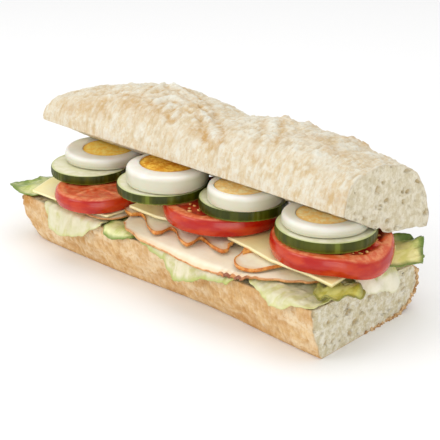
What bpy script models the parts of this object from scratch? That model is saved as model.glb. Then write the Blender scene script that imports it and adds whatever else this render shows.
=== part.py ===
import math

import bmesh
import bpy
from mathutils import Vector, noise

# Lengths here are millimetres, brought to metres when a mesh is made
mm = 0.001

# Loaf, X along its length with the natural end on the left and the cut end on the right
loaf_right = 105.0
loaf_left = -109.5
cut_front = 27.0
cut_slope = 0.042
lid_hinge_y = -21.0
lid_hinge_z = 64.5
lid_tilt = math.radians(20.0)

# Lower half's crust from the front cut edge, under the loaf, to the rear cut edge, as (y, z)
base_crust = [(-41.3, 26.9), (-41.0, 21.5), (-38.8, 13.0), (-35.4, 4.6), (-33.6, 0.6), (-30.0, 0.0),
              (-4.0, 0.0), (18.0, 0.0), (26.0, 0.8), (33.4, 3.6), (38.6, 8.8), (40.6, 15.6),
              (38.8, 20.8), (35.6, 23.8)]
base_bow = 3.6
base_belly = 3.0
base_columns = 20
base_cut_columns = 6

# Upper half's crust from the front lower edge, over the top, to the rear lower edge,
# as (p, q) along and square to its tilted underside
lid_crust = [(0.0, 0.0), (-0.9, 4.0), (-0.6, 9.0), (0.8, 14.0), (4.5, 18.3), (11.0, 22.3),
             (20.7, 25.8), (33.0, 28.0), (42.0, 27.7), (51.0, 24.6), (60.0, 18.6), (67.0, 10.5),
             (70.2, 4.2), (70.6, 0.0)]
lid_depth = 70.6
lid_sag = 5.0
lid_columns = 19
lid_under_columns = 11

# Height of the upper half along the loaf, as (x, height), with a valley between its two swells
lid_heights = [(-110.0, 22.0), (-95.0, 24.5), (-80.0, 27.5), (-58.0, 32.0), (-36.0, 35.0),
               (-12.0, 32.6), (11.0, 28.6), (24.0, 31.0), (38.0, 32.6), (59.0, 31.6),
               (73.0, 31.4), (89.0, 28.6), (106.0, 27.0)]

# Round slices as (x, y, radius, underside, thickness)
tomatoes = [(-51.8, -25.7, 22.4, 32.2, 7.8), (18.2, -2.5, 31.6, 36.8, 8.9), (85.4, -2.8, 28.8, 36.8, 8.9)]
cucumbers = [(-70.0, -14.5, 21.3, 40.3, 4.6), (-12.2, -16.4, 23.2, 46.0, 4.5),
             (32.6, -5.2, 21.8, 46.0, 5.0), (83.6, -5.0, 23.6, 46.0, 5.0)]
eggs = [(-71.1, -2.5, 22.4, 45.2, 5.8), (-9.5, -15.4, 21.0, 50.8, 9.0),
        (36.2, -8.0, 18.8, 51.3, 7.7), (82.6, -4.6, 20.6, 51.3, 5.3)]
yolks = [(-69.4, -1.4, 13.0), (-10.2, -12.1, 14.6), (35.2, -10.3, 12.4), (83.2, -6.7, 13.0)]

# Where the last tomato slice, which hangs past the layers below it, sags, as (x, slope from there)
tomato_sag = [(104.0, 0.3), (109.0, 0.6)]

# Where the layers turn down over the front edge of the lower half
bend_y = -40.5
bend_z = 25.5
bend_length = 3.0


def blend(pairs, x):
    """Return the value at x of a smooth curve through the pairs."""
    if x <= pairs[0][0]:
        return pairs[0][1]
    for (x0, v0), (x1, v1) in zip(pairs, pairs[1:]):
        if x <= x1:
            t = (x - x0) / (x1 - x0)
            t = t * t * (3.0 - 2.0 * t)
            return v0 + (v1 - v0) * t
    return pairs[-1][1]


def spline(points, count, closed):
    """Return evenly spaced points on a smooth curve through the given ones."""
    fine = []
    total = len(points)
    spans = total if closed else total - 1
    for i in range(spans):
        if closed:
            a, b, c, d = (Vector(points[(i + k) % total]) for k in (-1, 0, 1, 2))
        else:
            a, b, c, d = (Vector(points[min(max(i + k, 0), total - 1)]) for k in (-1, 0, 1, 2))
        for k in range(16):
            t = k / 16.0
            fine.append(0.5 * (2.0 * b + (c - a) * t + (2.0 * a - 5.0 * b + 4.0 * c - d) * t * t
                               + (3.0 * b - a - 3.0 * c + d) * t * t * t))
    fine.append(Vector(points[0] if closed else points[-1]))
    lengths = [0.0]
    for a, b in zip(fine, fine[1:]):
        lengths.append(lengths[-1] + (b - a).length)
    result = []
    at = 0
    for k in range(count):
        want = lengths[-1] * k / (count if closed else count - 1)
        while at < len(lengths) - 2 and lengths[at + 1] < want:
            at += 1
        span = lengths[at + 1] - lengths[at]
        t = 0.0 if span == 0.0 else (want - lengths[at]) / span
        result.append(fine[at].lerp(fine[at + 1], t))
    return result


def crag(x, y, z, size, seed):
    """Return a smooth random value between about -1 and 1."""
    place = Vector((x / size + seed, y / size, z / size))
    return noise.noise(place) + 0.5 * noise.noise(place * 2.1)


def cut_height(y):
    """Return the height of the lower half's cut face."""
    return cut_front - cut_slope * (y + 41.0)


def stations(straight, rounded):
    """Return the places along the loaf of its sections, closer together at the rounded end."""
    start = -78.0
    result = [loaf_right, 103.2]
    for k in range(1, straight + 1):
        result.append(103.2 + (start - 103.2) * k / straight)
    for k in range(1, rounded + 1):
        turn = 0.5 * math.pi * k / rounded
        result.append(start + (loaf_left - start) * math.sin(turn))
    return result


def end_scale(x, start, power):
    """Return how far a section has shrunk towards the rounded end."""
    t = max(0.0, (start - x) / (start - loaf_left))
    return max(0.0, 1.0 - t ** power) ** (1.0 / power)


def base_section(x):
    """Return the closed section of the lower half at x."""
    wide = max(0.16, end_scale(x, -78.0, 3.4))
    deep = max(0.42, end_scale(x, -90.0, 2.2))
    bow = base_bow * math.exp(-((x - 30.0) / 42.0) ** 2)
    belly = base_belly * blend([(-106.0, 1.0), (-84.0, 0.0)], x)
    points = []
    for p in spline(base_crust, base_columns, False):
        y, z = p
        low = 1.0 - z / cut_front
        if y < 0.0:
            high = min(1.0, max(0.0, z / cut_front))
            y += bow * low - belly * math.sin(math.pi * high ** 1.3)
        rough = crag(x, y, z, 9.0, 3.0) * 0.7 * min(1.0, z / 4.0, (27.0 - z) / 8.0)
        if y > 20.0 and z < 14.0:
            rough += 1.1 * max(0.0, crag(x, y, z, 5.0, 8.0)) * min(1.0, z / 2.0)
        y += rough * (-1.0 if y < 0.0 else 1.0)
        points.append((y, z))
    front, rear = points[0], points[-1]
    for k in range(1, base_cut_columns + 1):
        t = k / (base_cut_columns + 1.0)
        y = rear[0] + (front[0] - rear[0]) * t
        points.append((y, cut_height(y) - 0.25 * (1.0 + crag(x, y, 0.0, 7.0, 5.0))))
    section = []
    for y, z in points:
        top = cut_height(y)
        z = top - (top - z) * deep
        section.append((x, y * wide, max(z, 0.0)))
    return section


def required(x, y):
    """Return the height that the upper half must clear above the slices at a point."""
    height = 0.0
    for cx, cy, r, low, thick in tomatoes + eggs + cucumbers:
        if math.hypot(x - cx, y - cy) < r + 0.8:
            height = max(height, low + thick + 0.5)
    return height


def lid_point(p, q):
    """Return the (y, z) of a place in the upper half's tilted section."""
    y = lid_hinge_y + p * math.cos(lid_tilt) + q * math.sin(lid_tilt)
    z = lid_hinge_z - p * math.sin(lid_tilt) + q * math.cos(lid_tilt)
    return y, z


def lid_section(x):
    """Return the closed section of the upper half at x, before the slices press into it."""
    wide = max(0.16, end_scale(x, -82.0, 4.2))
    tall = max(0.12, end_scale(x, -78.0, 2.0))
    height = blend(lid_heights, x) / 28.0
    points = []
    for p, q in spline(lid_crust, lid_columns, False):
        swell = 1.1 * crag(x, p, q, 16.0, 11.0) * min(1.0, q / 8.0)
        fold = 0.9 * math.sin((x * 0.75 + p * 1.1) / 7.0) * max(0.0, math.sin(math.pi * p / 46.0))
        fold *= math.exp(-((x + 42.0) / 36.0) ** 2) * min(1.0, max(0.0, q - 14.0) / 8.0)
        points.append((p, q * height + swell + fold))
    for k in range(1, lid_under_columns + 1):
        p = lid_depth * (1.0 - k / (lid_under_columns + 1.0))
        sag = lid_sag * math.sin(math.pi * p / lid_depth)
        points.append((p, -sag + 0.4 * crag(x, p, 0.0, 6.0, 2.0)))
    section = []
    for p, q in points:
        y, z = lid_point(33.0 + (p - 33.0) * wide, q * tall)
        section.append([x, y, z])
    return section


def press(sections):
    """Lift the underside of the upper half clear of the slices below it."""
    rows = len(sections)
    first = lid_columns - 1
    last = len(sections[0])
    lifted = [[0.0] * last for row in sections]
    for i in range(rows - 1):
        for j in range(first, last):
            k = (j + 1) % last
            corners = [sections[i][j], sections[i + 1][j], sections[i][k], sections[i + 1][k]]
            need = 0.0
            for u in range(6):
                for v in range(6):
                    a, b = u / 5.0, v / 5.0
                    x = corners[0][0] * (1 - a) + corners[1][0] * a
                    y = (corners[0][1] * (1 - a) + corners[1][1] * a) * (1 - b)
                    y += (corners[2][1] * (1 - a) + corners[3][1] * a) * b
                    need = max(need, required(x, y))
            for m, n in ((i, j), (i + 1, j), (i, k), (i + 1, k)):
                lifted[m][n] = max(lifted[m][n], need)
    for i in range(rows):
        for j in range(first, last):
            sections[i][j][2] = max(sections[i][j][2], lifted[i][j])


def finish(bm, name, rgb, roughness):
    """Turn a mesh in millimetres into a named object with its own material."""
    bmesh.ops.recalc_face_normals(bm, faces=bm.faces)
    bmesh.ops.scale(bm, vec=(mm, mm, mm), verts=bm.verts)
    mesh = bpy.data.meshes.new(name)
    bm.to_mesh(mesh)
    bm.free()
    obj = bpy.data.objects.new(name, mesh)
    food.objects.link(obj)
    mat = bpy.data.materials.new(name)
    mat.use_nodes = True
    shader = mat.node_tree.nodes["Principled BSDF"]
    shader.inputs["Base Color"].default_value = (*rgb, 1.0)
    shader.inputs["Roughness"].default_value = roughness
    shader.inputs["Metallic"].default_value = 0.0
    mesh.materials.append(mat)
    return obj


def loft(name, sections, rgb, roughness, pore):
    """Skin the sections and close both ends, the cut end with a pitted face."""
    bm = bmesh.new()
    rings = [[bm.verts.new(p) for p in section] for section in sections]
    middle = sum((Vector(p) for p in sections[0]), Vector()) / len(sections[0])
    inner = []
    for share in (0.72, 0.42):
        ring = []
        for p in sections[0]:
            place = middle.lerp(Vector(p), share)
            place.x -= pore * (0.5 + 0.5 * crag(0.0, place.y, place.z, 5.0, 21.0))
            ring.append(bm.verts.new(place))
        inner.append(ring)
    rings = inner[::-1] + rings
    count = len(sections[0])
    for a, b in zip(rings, rings[1:]):
        for j in range(count):
            k = (j + 1) % count
            bm.faces.new((a[j], a[k], b[k], b[j]))
    centre = bm.verts.new(middle - Vector((pore * 0.5, 0.0, 0.0)))
    for j in range(count):
        bm.faces.new((centre, rings[0][(j + 1) % count], rings[0][j]))
    tip = bm.verts.new(sum((v.co for v in rings[-1]), Vector()) / count)
    for j in range(count):
        bm.faces.new((tip, rings[-1][j], rings[-1][(j + 1) % count]))
    return finish(bm, name, rgb, roughness)


def disc(name, place, segments, rim, steps, lobe, rgb, roughness, sag=()):
    """Make a round slice with rounded rims and a slightly lobed outline, bent down past each sag."""
    cx, cy, r, low, thick = place
    bm = bmesh.new()
    bmesh.ops.create_cone(bm, cap_ends=True, cap_tris=False, segments=segments, radius1=r,
                          radius2=r, depth=thick)
    rims = [e for e in bm.edges if abs(e.verts[0].co.z - e.verts[1].co.z) < 1e-6]
    bmesh.ops.bevel(bm, geom=rims, offset=rim, segments=steps, profile=0.5, affect="EDGES")
    for v in bm.verts:
        turn = math.atan2(v.co.y, v.co.x)
        share = 1.0 + lobe * math.sin(3.0 * turn + cx) + 0.5 * lobe * math.sin(5.0 * turn + cy)
        v.co.x *= share / (1.0 + 1.5 * lobe)
        v.co.y *= share / (1.0 + 1.5 * lobe)
    bmesh.ops.translate(bm, vec=(cx, cy, low + 0.5 * thick), verts=bm.verts)
    for start, slope in sag:
        geom = bm.verts[:] + bm.edges[:] + bm.faces[:]
        bmesh.ops.bisect_plane(bm, geom=geom, dist=1e-4, plane_co=(start, 0.0, 0.0),
                               plane_no=(1.0, 0.0, 0.0))
        before = sum(s for x0, s in sag if x0 < start)
        for v in bm.verts:
            v.co.z -= (slope - before) * max(0.0, v.co.x - start)
    return finish(bm, name, rgb, roughness)


def lay(x, s, z, turn):
    """Return the place of a layer's point, s forward of the middle line, bent over the front edge."""
    d = z - bend_z
    past = s + bend_y
    if past <= 0.0:
        return Vector((x, -s, z))
    angle = min(past / bend_length, turn)
    extra = past - bend_length * angle
    y = bend_y - d * math.sin(angle) - extra * math.cos(angle)
    z = bend_z + d * math.cos(angle) - extra * math.sin(angle)
    return Vector((x, y, z))


def sheet(name, outline, height, turn, thick, segments, rings, rgb, roughness):
    """Make a thin layer from its outline and a height function, as one closed solid."""
    edge = spline(outline, segments, True)
    middle = sum(edge, Vector((0.0, 0.0))) / len(edge)
    bm = bmesh.new()
    centre = bm.verts.new(lay(middle.x, middle.y, height(middle.x, middle.y, 0.0), turn))
    last = None
    for k in range(1, rings + 1):
        share = k / rings
        ring = []
        for p in edge:
            x, s = middle.lerp(p, share ** 0.8)
            ring.append(bm.verts.new(lay(x, s, height(x, s, share), turn)))
        for j in range(segments):
            m = (j + 1) % segments
            if last is None:
                bm.faces.new((centre, ring[j], ring[m]))
            elif (j + k) % 2:
                bm.faces.new((last[j], ring[j], ring[m]))
                bm.faces.new((last[j], ring[m], last[m]))
            else:
                bm.faces.new((last[j], ring[j], last[m]))
                bm.faces.new((last[m], ring[j], ring[m]))
        last = ring
    obj = finish(bm, name, rgb, roughness)
    solid = obj.modifiers.new("Solidify", "SOLIDIFY")
    solid.thickness = thick * mm
    solid.offset = 0.0
    return obj


def apron(name, front, rear, height, turn, thick, columns, rows, rgb, roughness):
    """Make a thin layer between its front and rear edges, with rows at the given shares.

    A layer with a turn has further rows where it bends down over the front edge.
    """
    bm = bmesh.new()
    grid = []
    left, right = front[0][0], front[-1][0]
    for i in range(columns):
        t = i / (columns - 1.0)
        x = left + (right - left) * t
        ahead = blend(front, x)
        back = blend(rear, x)
        start = min(-bend_y, ahead - 1.5) if turn else ahead
        past = ahead - start
        places = [back + (start - back) * k for k in rows]
        if turn and past > 6.0:
            places += [start + 1.6, start + 3.2, start + 4.8, ahead]
        elif turn:
            places += [start + past * k / 4.0 for k in range(1, 5)]
        line = []
        for k, s in enumerate(places):
            edge = abs(2.0 * t - 1.0) ** 4
            near = x + 1.6 * edge * noise.noise(Vector((s / 6.0, x / 9.0, 3.0)))
            share = edge if turn else rows[k]
            line.append(bm.verts.new(lay(near, s, height(near, s, share), turn)))
        grid.append(line)
    for i, (a, b) in enumerate(zip(grid, grid[1:])):
        for k in range(len(a) - 1):
            if (i + k) % 2:
                bm.faces.new((a[k], a[k + 1], b[k + 1]))
                bm.faces.new((a[k], b[k + 1], b[k]))
            else:
                bm.faces.new((a[k], a[k + 1], b[k]))
                bm.faces.new((a[k + 1], b[k + 1], b[k]))
    obj = finish(bm, name, rgb, roughness)
    solid = obj.modifiers.new("Solidify", "SOLIDIFY")
    solid.thickness = thick * mm
    solid.offset = 0.0
    return obj


def leaf_height(top, seed, step):
    """Return a height function that ruffles a leaf between the cut face and the layer above.

    Behind the other layers the leaf rises towards the upper half.
    """
    def height(x, s, share):
        low = cut_height(-min(s, 41.0)) + 0.75
        lift = blend([(-38.0, 1.0), (-28.5, 0.0)], s)
        wave = 0.5 + 0.85 * noise.noise(Vector((x / step, s / step, seed)))
        wave += 0.25 * share * math.sin(x / 2.6 + s / 3.4 + seed) + 0.2 * lift
        return low + (top + 7.0 * lift - low) * min(1.0, max(0.0, wave))
    return height


def flat_height(level, droop):
    """Return a height function for a nearly flat slice with a small soft unevenness."""
    def height(x, s, share):
        return level + droop * noise.noise(Vector((x / 14.0, s / 14.0, level)))
    return height


for old in list(bpy.data.objects):
    bpy.data.objects.remove(old, do_unlink=True)
food = bpy.data.collections.new("ham_cheese_baguette")
bpy.context.scene.collection.children.link(food)
cutters = bpy.data.collections.new("cutters")
bpy.context.scene.collection.children.link(cutters)

crust_rgb = (0.72, 0.50, 0.27)
pale_rgb = (0.84, 0.72, 0.53)

# Bread halves
base = loft("bread_bottom", [base_section(x) for x in stations(24, 8)], crust_rgb, 0.85, 0.9)
lid_sections = [lid_section(x) for x in stations(27, 9)]
press(lid_sections)
lid = loft("bread_top", lid_sections, pale_rgb, 0.85, 0.9)

# Tomato, cucumber and egg slices, each yolk in a hole through its white
for n, place in enumerate(tomatoes, 1):
    disc(f"tomato_{n}", place, 32, 1.2, 2, 0.008, (0.62, 0.07, 0.04), 0.3, tomato_sag if n == 3 else ())
for n, place in enumerate(cucumbers, 1):
    disc(f"cucumber_{n}", place, 28, 0.5, 1, 0.005, (0.62, 0.66, 0.40), 0.35)
for n, (place, yolk) in enumerate(zip(eggs, yolks), 1):
    white = disc(f"egg_white_{n}", place, 26, 1.3, 2, 0.01, (0.86, 0.85, 0.78), 0.3)
    yx, yy, yr = yolk
    hole = bmesh.new()
    bmesh.ops.create_cone(hole, cap_ends=True, cap_tris=False, segments=22, radius1=yr * mm,
                          radius2=yr * mm, depth=2.0 * place[4] * mm)
    middle = (yx * mm, yy * mm, (place[3] + 0.5 * place[4]) * mm)
    bmesh.ops.translate(hole, vec=middle, verts=hole.verts)
    hole_mesh = bpy.data.meshes.new(f"hole_{n}")
    hole.to_mesh(hole_mesh)
    hole.free()
    cutter = bpy.data.objects.new(f"hole_{n}", hole_mesh)
    cutter.hide_render = True
    cutter.display_type = "WIRE"
    cutters.objects.link(cutter)
    cut = white.modifiers.new("Yolk hole", "BOOLEAN")
    cut.object = cutter
    cut.operation = "DIFFERENCE"
    cut.solver = "EXACT"
    disc(f"egg_yolk_{n}", (yx, yy, yr - 0.25, place[3], place[4] - 0.3), 22, 0.4, 1, 0.004,
         (0.83, 0.52, 0.10), 0.6)

# Leaves as (name, front edge as (x, s), rear edge as (x, s), top of ruffle, seed, size, bend)
leaf_rgb = (0.60, 0.70, 0.30)
leaf_rows = (0.0, 0.1, 0.2, 0.5, 1.0)
leaves = [
    ("lettuce_1", [(-76, 42.5), (-72, 47), (-69, 54), (-60.5, 56), (-51.5, 54), (-44, 52), (-37, 46.6),
                   (-32, 42.5)],
     [(-76, -20), (-69, -37), (-56, -45), (-43, -40), (-32, -20)], 29.0, 1.3, 11.0, 1.35),
    ("lettuce_2", [(-30, 42.5), (-28, 46), (-20.5, 46.8), (-14, 44.5), (-9, 42.5)],
     [(-30, -22), (-25, -39), (-14, -43), (-9, -24)], 28.9, 4.1, 8.0, 1.2),
    ("lettuce_3", [(-6, 38), (0, 42.6), (8, 44.4), (15.5, 46.2), (20, 51), (26, 53.5), (35, 51.6),
                   (43, 48.2), (51, 46.4), (58, 45.5), (63, 41)],
     [(-6, -22), (1, -38), (16, -45), (32, -40), (48, -46), (57, -39), (63, -24)], 29.5, 6.2, 9.0, 1.35),
    ("lettuce_4", [(65, 38), (70, 41), (78.5, 44.6), (84, 47.6), (89, 47.2), (96, 44.2), (101, 42.4),
                   (105, 40), (107, 34)],
     [(65, -24), (70, -39), (77, -43), (84, -26), (95, -22), (99, -4), (104, 20), (107, 26)],
     29.5, 9.7, 10.0, 1.2),
]
for name, front, rear, top, seed, step, turn in leaves:
    apron(name, front, rear, leaf_height(top, seed, step), turn, 0.6, 12, leaf_rows, leaf_rgb, 0.5)
sheet("lettuce_6", [(-113, 36), (-108, 40), (-98, 40.5), (-90, 39), (-84, 33), (-83, 22), (-86, 6),
                    (-95, -8), (-103, -6), (-107, 8), (-108, 22), (-112, 30)],
      leaf_height(29.0, 12.4, 7.0), 1.0, 0.6, 26, 3, leaf_rgb, 0.5)

# Small curled leaves at the cut end, with heights of their own
def curl_height(x, s, share):
    return 31.0 + 0.9 * math.sin((x + s) / 3.2) + 0.05 * (s - 22.0)


def fringe_height(x, s, share):
    inward = 0.466 * (-s - 12.5) - 0.885 * (x - 108.6)
    frill = blend([(-37.0, 1.0), (-28.0, 0.0)], s) * (1.4 + 1.7 * math.sin(x / 2.3 + s / 5.0))
    return 31.0 + min(2.9, max(0.0, 0.3 * inward)) + frill


sheet("lettuce_5", [(98, 30), (103, 36), (110, 35), (114, 28), (115, 18), (110, 12), (103, 16),
                    (98, 22)], curl_height, 1.2, 0.6, 22, 3, (0.62, 0.66, 0.20), 0.5)
sheet("lettuce_7", [(108.6, -12.5), (111, -16), (113.2, -21.5), (115.7, -26), (114.6, -30), (110.5, -34.6),
                    (107, -38.5), (102.5, -42), (98.5, -40), (94, -35), (89, -34), (87.5, -29.5),
                    (92, -22), (100, -14), (105, -11.5)],
      fringe_height, 1.2, 0.6, 24, 3, (0.42, 0.52, 0.14), 0.5)


def flap(name, drops, path, thick, rgb, roughness):
    """Make a leaf that comes out between the layers and hangs over the cut end.

    The drops give, as (y, share), how far down the path of (x, z) the leaf reaches.
    """
    bm = bmesh.new()
    line = spline(path, 33, False)
    grid = []
    for i in range(10):
        y = drops[0][0] + (drops[-1][0] - drops[0][0]) * i / 9.0
        reach = blend(drops, y) * 32.0
        row = []
        for k in range(6):
            at = reach * k / 5.0
            a, b = line[min(31, int(at))], line[min(31, int(at)) + 1]
            x, z = a.lerp(b, at - min(31, int(at)))
            wave = 0.45 * math.sin(y / 1.9 + 0.25 * z) * min(1.0, k / 3.0)
            row.append(bm.verts.new((x + wave, y + 0.8 * math.sin(z / 2.5), z + 0.5 * wave)))
        grid.append(row)
    for i, (a, b) in enumerate(zip(grid, grid[1:])):
        for k in range(5):
            if (i + k) % 2:
                bm.faces.new((a[k], a[k + 1], b[k + 1]))
                bm.faces.new((a[k], b[k + 1], b[k]))
            else:
                bm.faces.new((a[k], a[k + 1], b[k]))
                bm.faces.new((a[k + 1], b[k + 1], b[k]))
    obj = finish(bm, name, rgb, roughness)
    solid = obj.modifiers.new("Solidify", "SOLIDIFY")
    solid.thickness = thick * mm
    solid.offset = 0.0


flap("lettuce_8", [(-7.0, 0.62), (-2.0, 0.74), (3.0, 0.8), (8.0, 0.84), (13.0, 0.92), (18.0, 1.0),
                   (21.5, 0.86)],
     [(92.5, 31.8), (97.0, 31.4), (102.0, 30.1), (105.0, 27.9), (106.9, 24.5), (107.5, 20.0), (107.3, 15.5)],
     0.6, (0.74, 0.78, 0.56), 0.5)

# Ham, cheese and their folds
ham_rgb = (0.82, 0.68, 0.58)
cheese_rgb = (0.84, 0.70, 0.38)


def ruffled_height(x, s, share):
    return 32.9 + 0.7 * math.sin(x / 3.4 + 0.6) * share ** 2


sheet("ham_1", [(-72, 28), (-66, 36), (-58, 38.5), (-50, 39.5), (-40, 40), (-33, 38), (-28, 31),
                (-28, 20), (-33, 6), (-46, -4), (-62, 2), (-71, 14)],
      flat_height(29.9, 0.15), 1.0, 0.7, 24, 3, ham_rgb, 0.5)
apron("ham_2", [(-25, 28), (-21, 36), (-13, 40.8), (1, 42.7), (14, 43), (29, 43.6), (39, 43.9),
                (51, 43.4), (64.5, 42.3), (72, 38.5), (80, 33), (90, 27), (95, 20)],
      [(-25, 20), (-20, 4), (-8, -14), (16, -25), (46, -25), (70, -16), (86, 0), (95, 12)],
      flat_height(30.7, 0.2), 1.1, 1.0, 19, (0.0, 0.25, 0.5, 0.75, 1.0), ham_rgb, 0.5)
apron("ham_3", [(-27.5, 27), (-25.5, 31), (-18, 34.7), (-15.5, 28), (-12, 26), (-7, 31), (-2, 36),
                (6, 38.3), (9, 32), (12, 30), (16, 33), (21, 37.2), (25.5, 36), (28, 29), (30, 27),
                (36, 31), (43, 32), (45.5, 25)],
      [(-27.5, 24), (-26, 10), (-21, 0), (-4, -12), (24, -12), (42, 2), (45.5, 23)],
      ruffled_height, 0.0, 0.8, 38, (0.0, 0.5, 0.84, 1.0), ham_rgb, 0.5)


def fold_strip(name, rgb, roughness):
    """Make the folded slice as a strip that doubles back at its left edge."""
    section = [(86, 32.1), (74, 32.0), (62, 32.0), (54, 32.0), (50, 32.1), (48.4, 32.7), (48.3, 33.2),
               (50, 33.7), (54, 33.9), (60, 33.9), (66, 33.9)]
    rows = [(-37.5, 1.5), (-34.5, 0.3), (-30.0, 0.0), (-25.0, -0.8), (-18.0, -0.6), (-6.0, 1.0)]
    bm = bmesh.new()
    grid = []
    for y, shift in rows:
        line = []
        for k, (x, z) in enumerate(spline(section, 16, False)):
            back = 0.55 * max(0.0, x - 60.0)
            upper = min(1.0, max(0.0, z - 32.6)) * 6.0 * min(1.0, max(0.0, (-24.0 - y) / 12.0))
            line.append(bm.verts.new((x + shift, min(y + back + upper, 0.08 * y), z)))
        grid.append(line)
    for a, b in zip(grid, grid[1:]):
        for k in range(len(a) - 1):
            if k % 2:
                bm.faces.new((a[k], a[k + 1], b[k + 1]))
                bm.faces.new((a[k], b[k + 1], b[k]))
            else:
                bm.faces.new((a[k], a[k + 1], b[k]))
                bm.faces.new((a[k + 1], b[k + 1], b[k]))
    obj = finish(bm, name, rgb, roughness)
    solid = obj.modifiers.new("Solidify", "SOLIDIFY")
    solid.thickness = 0.7 * mm
    solid.offset = 0.0
    return obj


fold_strip("ham_4", ham_rgb, 0.5)


def corner_height(level, x0, s0, droop):
    """Return a height function for a cheese slice that sags towards one corner."""
    def height(x, s, share):
        return level - droop * max(0.0, 1.0 - math.hypot(x - x0, s - s0) / 16.0)
    return height


def square(points, step):
    """Return points spaced along straight sides, so that the corners stay crisp."""
    result = []
    for a, b in zip(points, points[1:] + points[:1]):
        a, b = Vector(a), Vector(b)
        count = max(1, round((b - a).length / step))
        result += [tuple(a.lerp(b, k / count)) for k in range(count)]
    return result


sheet("cheese_1", square([(-96, 22), (-89, 40), (-50, 40), (-32, 37), (-30, 4), (-92, 3)], 4.0),
      corner_height(31.3, -90, 41, 0.2), 0.7, 1.1, 28, 2, cheese_rgb, 0.45)
sheet("cheese_2", square([(-26, 27), (-6, 27.5), (24, 20), (22, -16), (-22, -14)], 4.0),
      corner_height(35.5, -26, 27, 0.0), 0.7, 1.5, 26, 2, cheese_rgb, 0.45)
sheet("cheese_3", square([(37, 26), (70, 29), (105, 27.5), (104.4, -8), (102.5, -24), (88, -27),
                          (40, -18)], 4.0),
      corner_height(35.5, 107, 28, 1.6), 0.7, 1.5, 30, 2, cheese_rgb, 0.45)

# The whole is brought to stand over the middle of its box
low = [1e9, 1e9]
high = [-1e9, -1e9]
bpy.context.view_layer.update()
graph = bpy.context.evaluated_depsgraph_get()
for obj in food.objects:
    shape = obj.evaluated_get(graph).to_mesh()
    for v in shape.vertices:
        for k in range(2):
            low[k] = min(low[k], v.co[k])
            high[k] = max(high[k], v.co[k])
    obj.evaluated_get(graph).to_mesh_clear()
for obj in list(food.objects) + list(cutters.objects):
    for v in obj.data.vertices:
        v.co.x -= 0.5 * (low[0] + high[0])
        v.co.y -= 0.5 * (low[1] + high[1])
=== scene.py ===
import math

import bpy
import numpy as np
from mathutils import Matrix, Vector, noise


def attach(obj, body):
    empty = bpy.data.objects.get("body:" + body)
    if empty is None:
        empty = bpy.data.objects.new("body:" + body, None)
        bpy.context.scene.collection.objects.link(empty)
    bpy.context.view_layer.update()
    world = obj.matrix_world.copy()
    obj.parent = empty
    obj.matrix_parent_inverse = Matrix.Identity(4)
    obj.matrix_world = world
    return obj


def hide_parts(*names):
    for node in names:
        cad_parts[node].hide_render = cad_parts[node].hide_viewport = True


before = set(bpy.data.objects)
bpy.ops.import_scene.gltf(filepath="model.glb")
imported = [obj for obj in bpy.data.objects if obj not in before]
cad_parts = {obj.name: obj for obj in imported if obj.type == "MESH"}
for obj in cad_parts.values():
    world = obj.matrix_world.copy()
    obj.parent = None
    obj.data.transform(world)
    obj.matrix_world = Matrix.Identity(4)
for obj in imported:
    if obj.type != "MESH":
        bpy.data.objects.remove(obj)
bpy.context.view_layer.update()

# Everything is worked out in millimetres along the loaf, then moved to the frame's middle
place = {"shiftX": -1.28384, "shiftY": 0.43162, "toMetres": 0.001}


# Small tools that the pieces share

def smooth(a, b, x):
    t = np.clip((x - a) / (b - a), 0.0, 1.0)
    return t * t * (3.0 - 2.0 * t)


def blendPairs(pairs, x):
    x = np.asarray(x, float)
    result = np.full(x.shape, pairs[0][1], float)
    for (x0, v0), (x1, v1) in zip(pairs, pairs[1:]):
        result = np.where(x > x0, v0 + (v1 - v0) * smooth(x0, x1, x), result)
    return result


def splinePoints(points, count, closed=False):
    p = np.array(points, float)
    n = len(p)
    spans = n if closed else n - 1
    fine = []
    t = (np.arange(16) / 16.0)[:, None]
    for i in range(spans):
        k = [(i + j) % n if closed else min(max(i + j, 0), n - 1) for j in (-1, 0, 1, 2)]
        a, b, c, d = p[k]
        curve = 2 * b + (c - a) * t + (2 * a - 5 * b + 4 * c - d) * t ** 2
        fine.append(0.5 * (curve + (3 * b - a - 3 * c + d) * t ** 3))
    fine = np.vstack(fine + [p[:1] if closed else p[-1:]])
    run = np.concatenate([[0], np.cumsum(np.linalg.norm(np.diff(fine, axis=0), axis=1))])
    want = run[-1] * np.arange(count) / (count if closed else count - 1)
    return np.stack([np.interp(want, run, fine[:, k]) for k in range(p.shape[1])], 1)


def xyz(x, y, z):
    return np.stack(np.broadcast_arrays(x, y, z), -1)


def aroundAxis(radius, turn, z, cx=0.0, cy=0.0):
    return xyz(cx + radius * np.cos(turn), cy + radius * np.sin(turn), z)


def inFrame(points):
    return (np.asarray(points, float) + [place["shiftX"], place["shiftY"], 0.0]) * place["toMetres"]


def addObject(name, data):
    made = bpy.data.objects.new(name, data)
    bpy.context.scene.collection.objects.link(made)
    return made


def hashed(ix, iy, iz, seed):
    h = (ix * 374761393 + iy * 668265263 + iz * 1274126177 + seed * 974634777) & 0xFFFFFFFF
    h = ((h ^ (h >> 13)) * 1274126177) & 0xFFFFFFFF
    h = ((h ^ (h >> 15)) * 668265263) & 0xFFFFFFFF
    return ((h ^ (h >> 16)) & 0xFFFFFF) / 16777215.0


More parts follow.
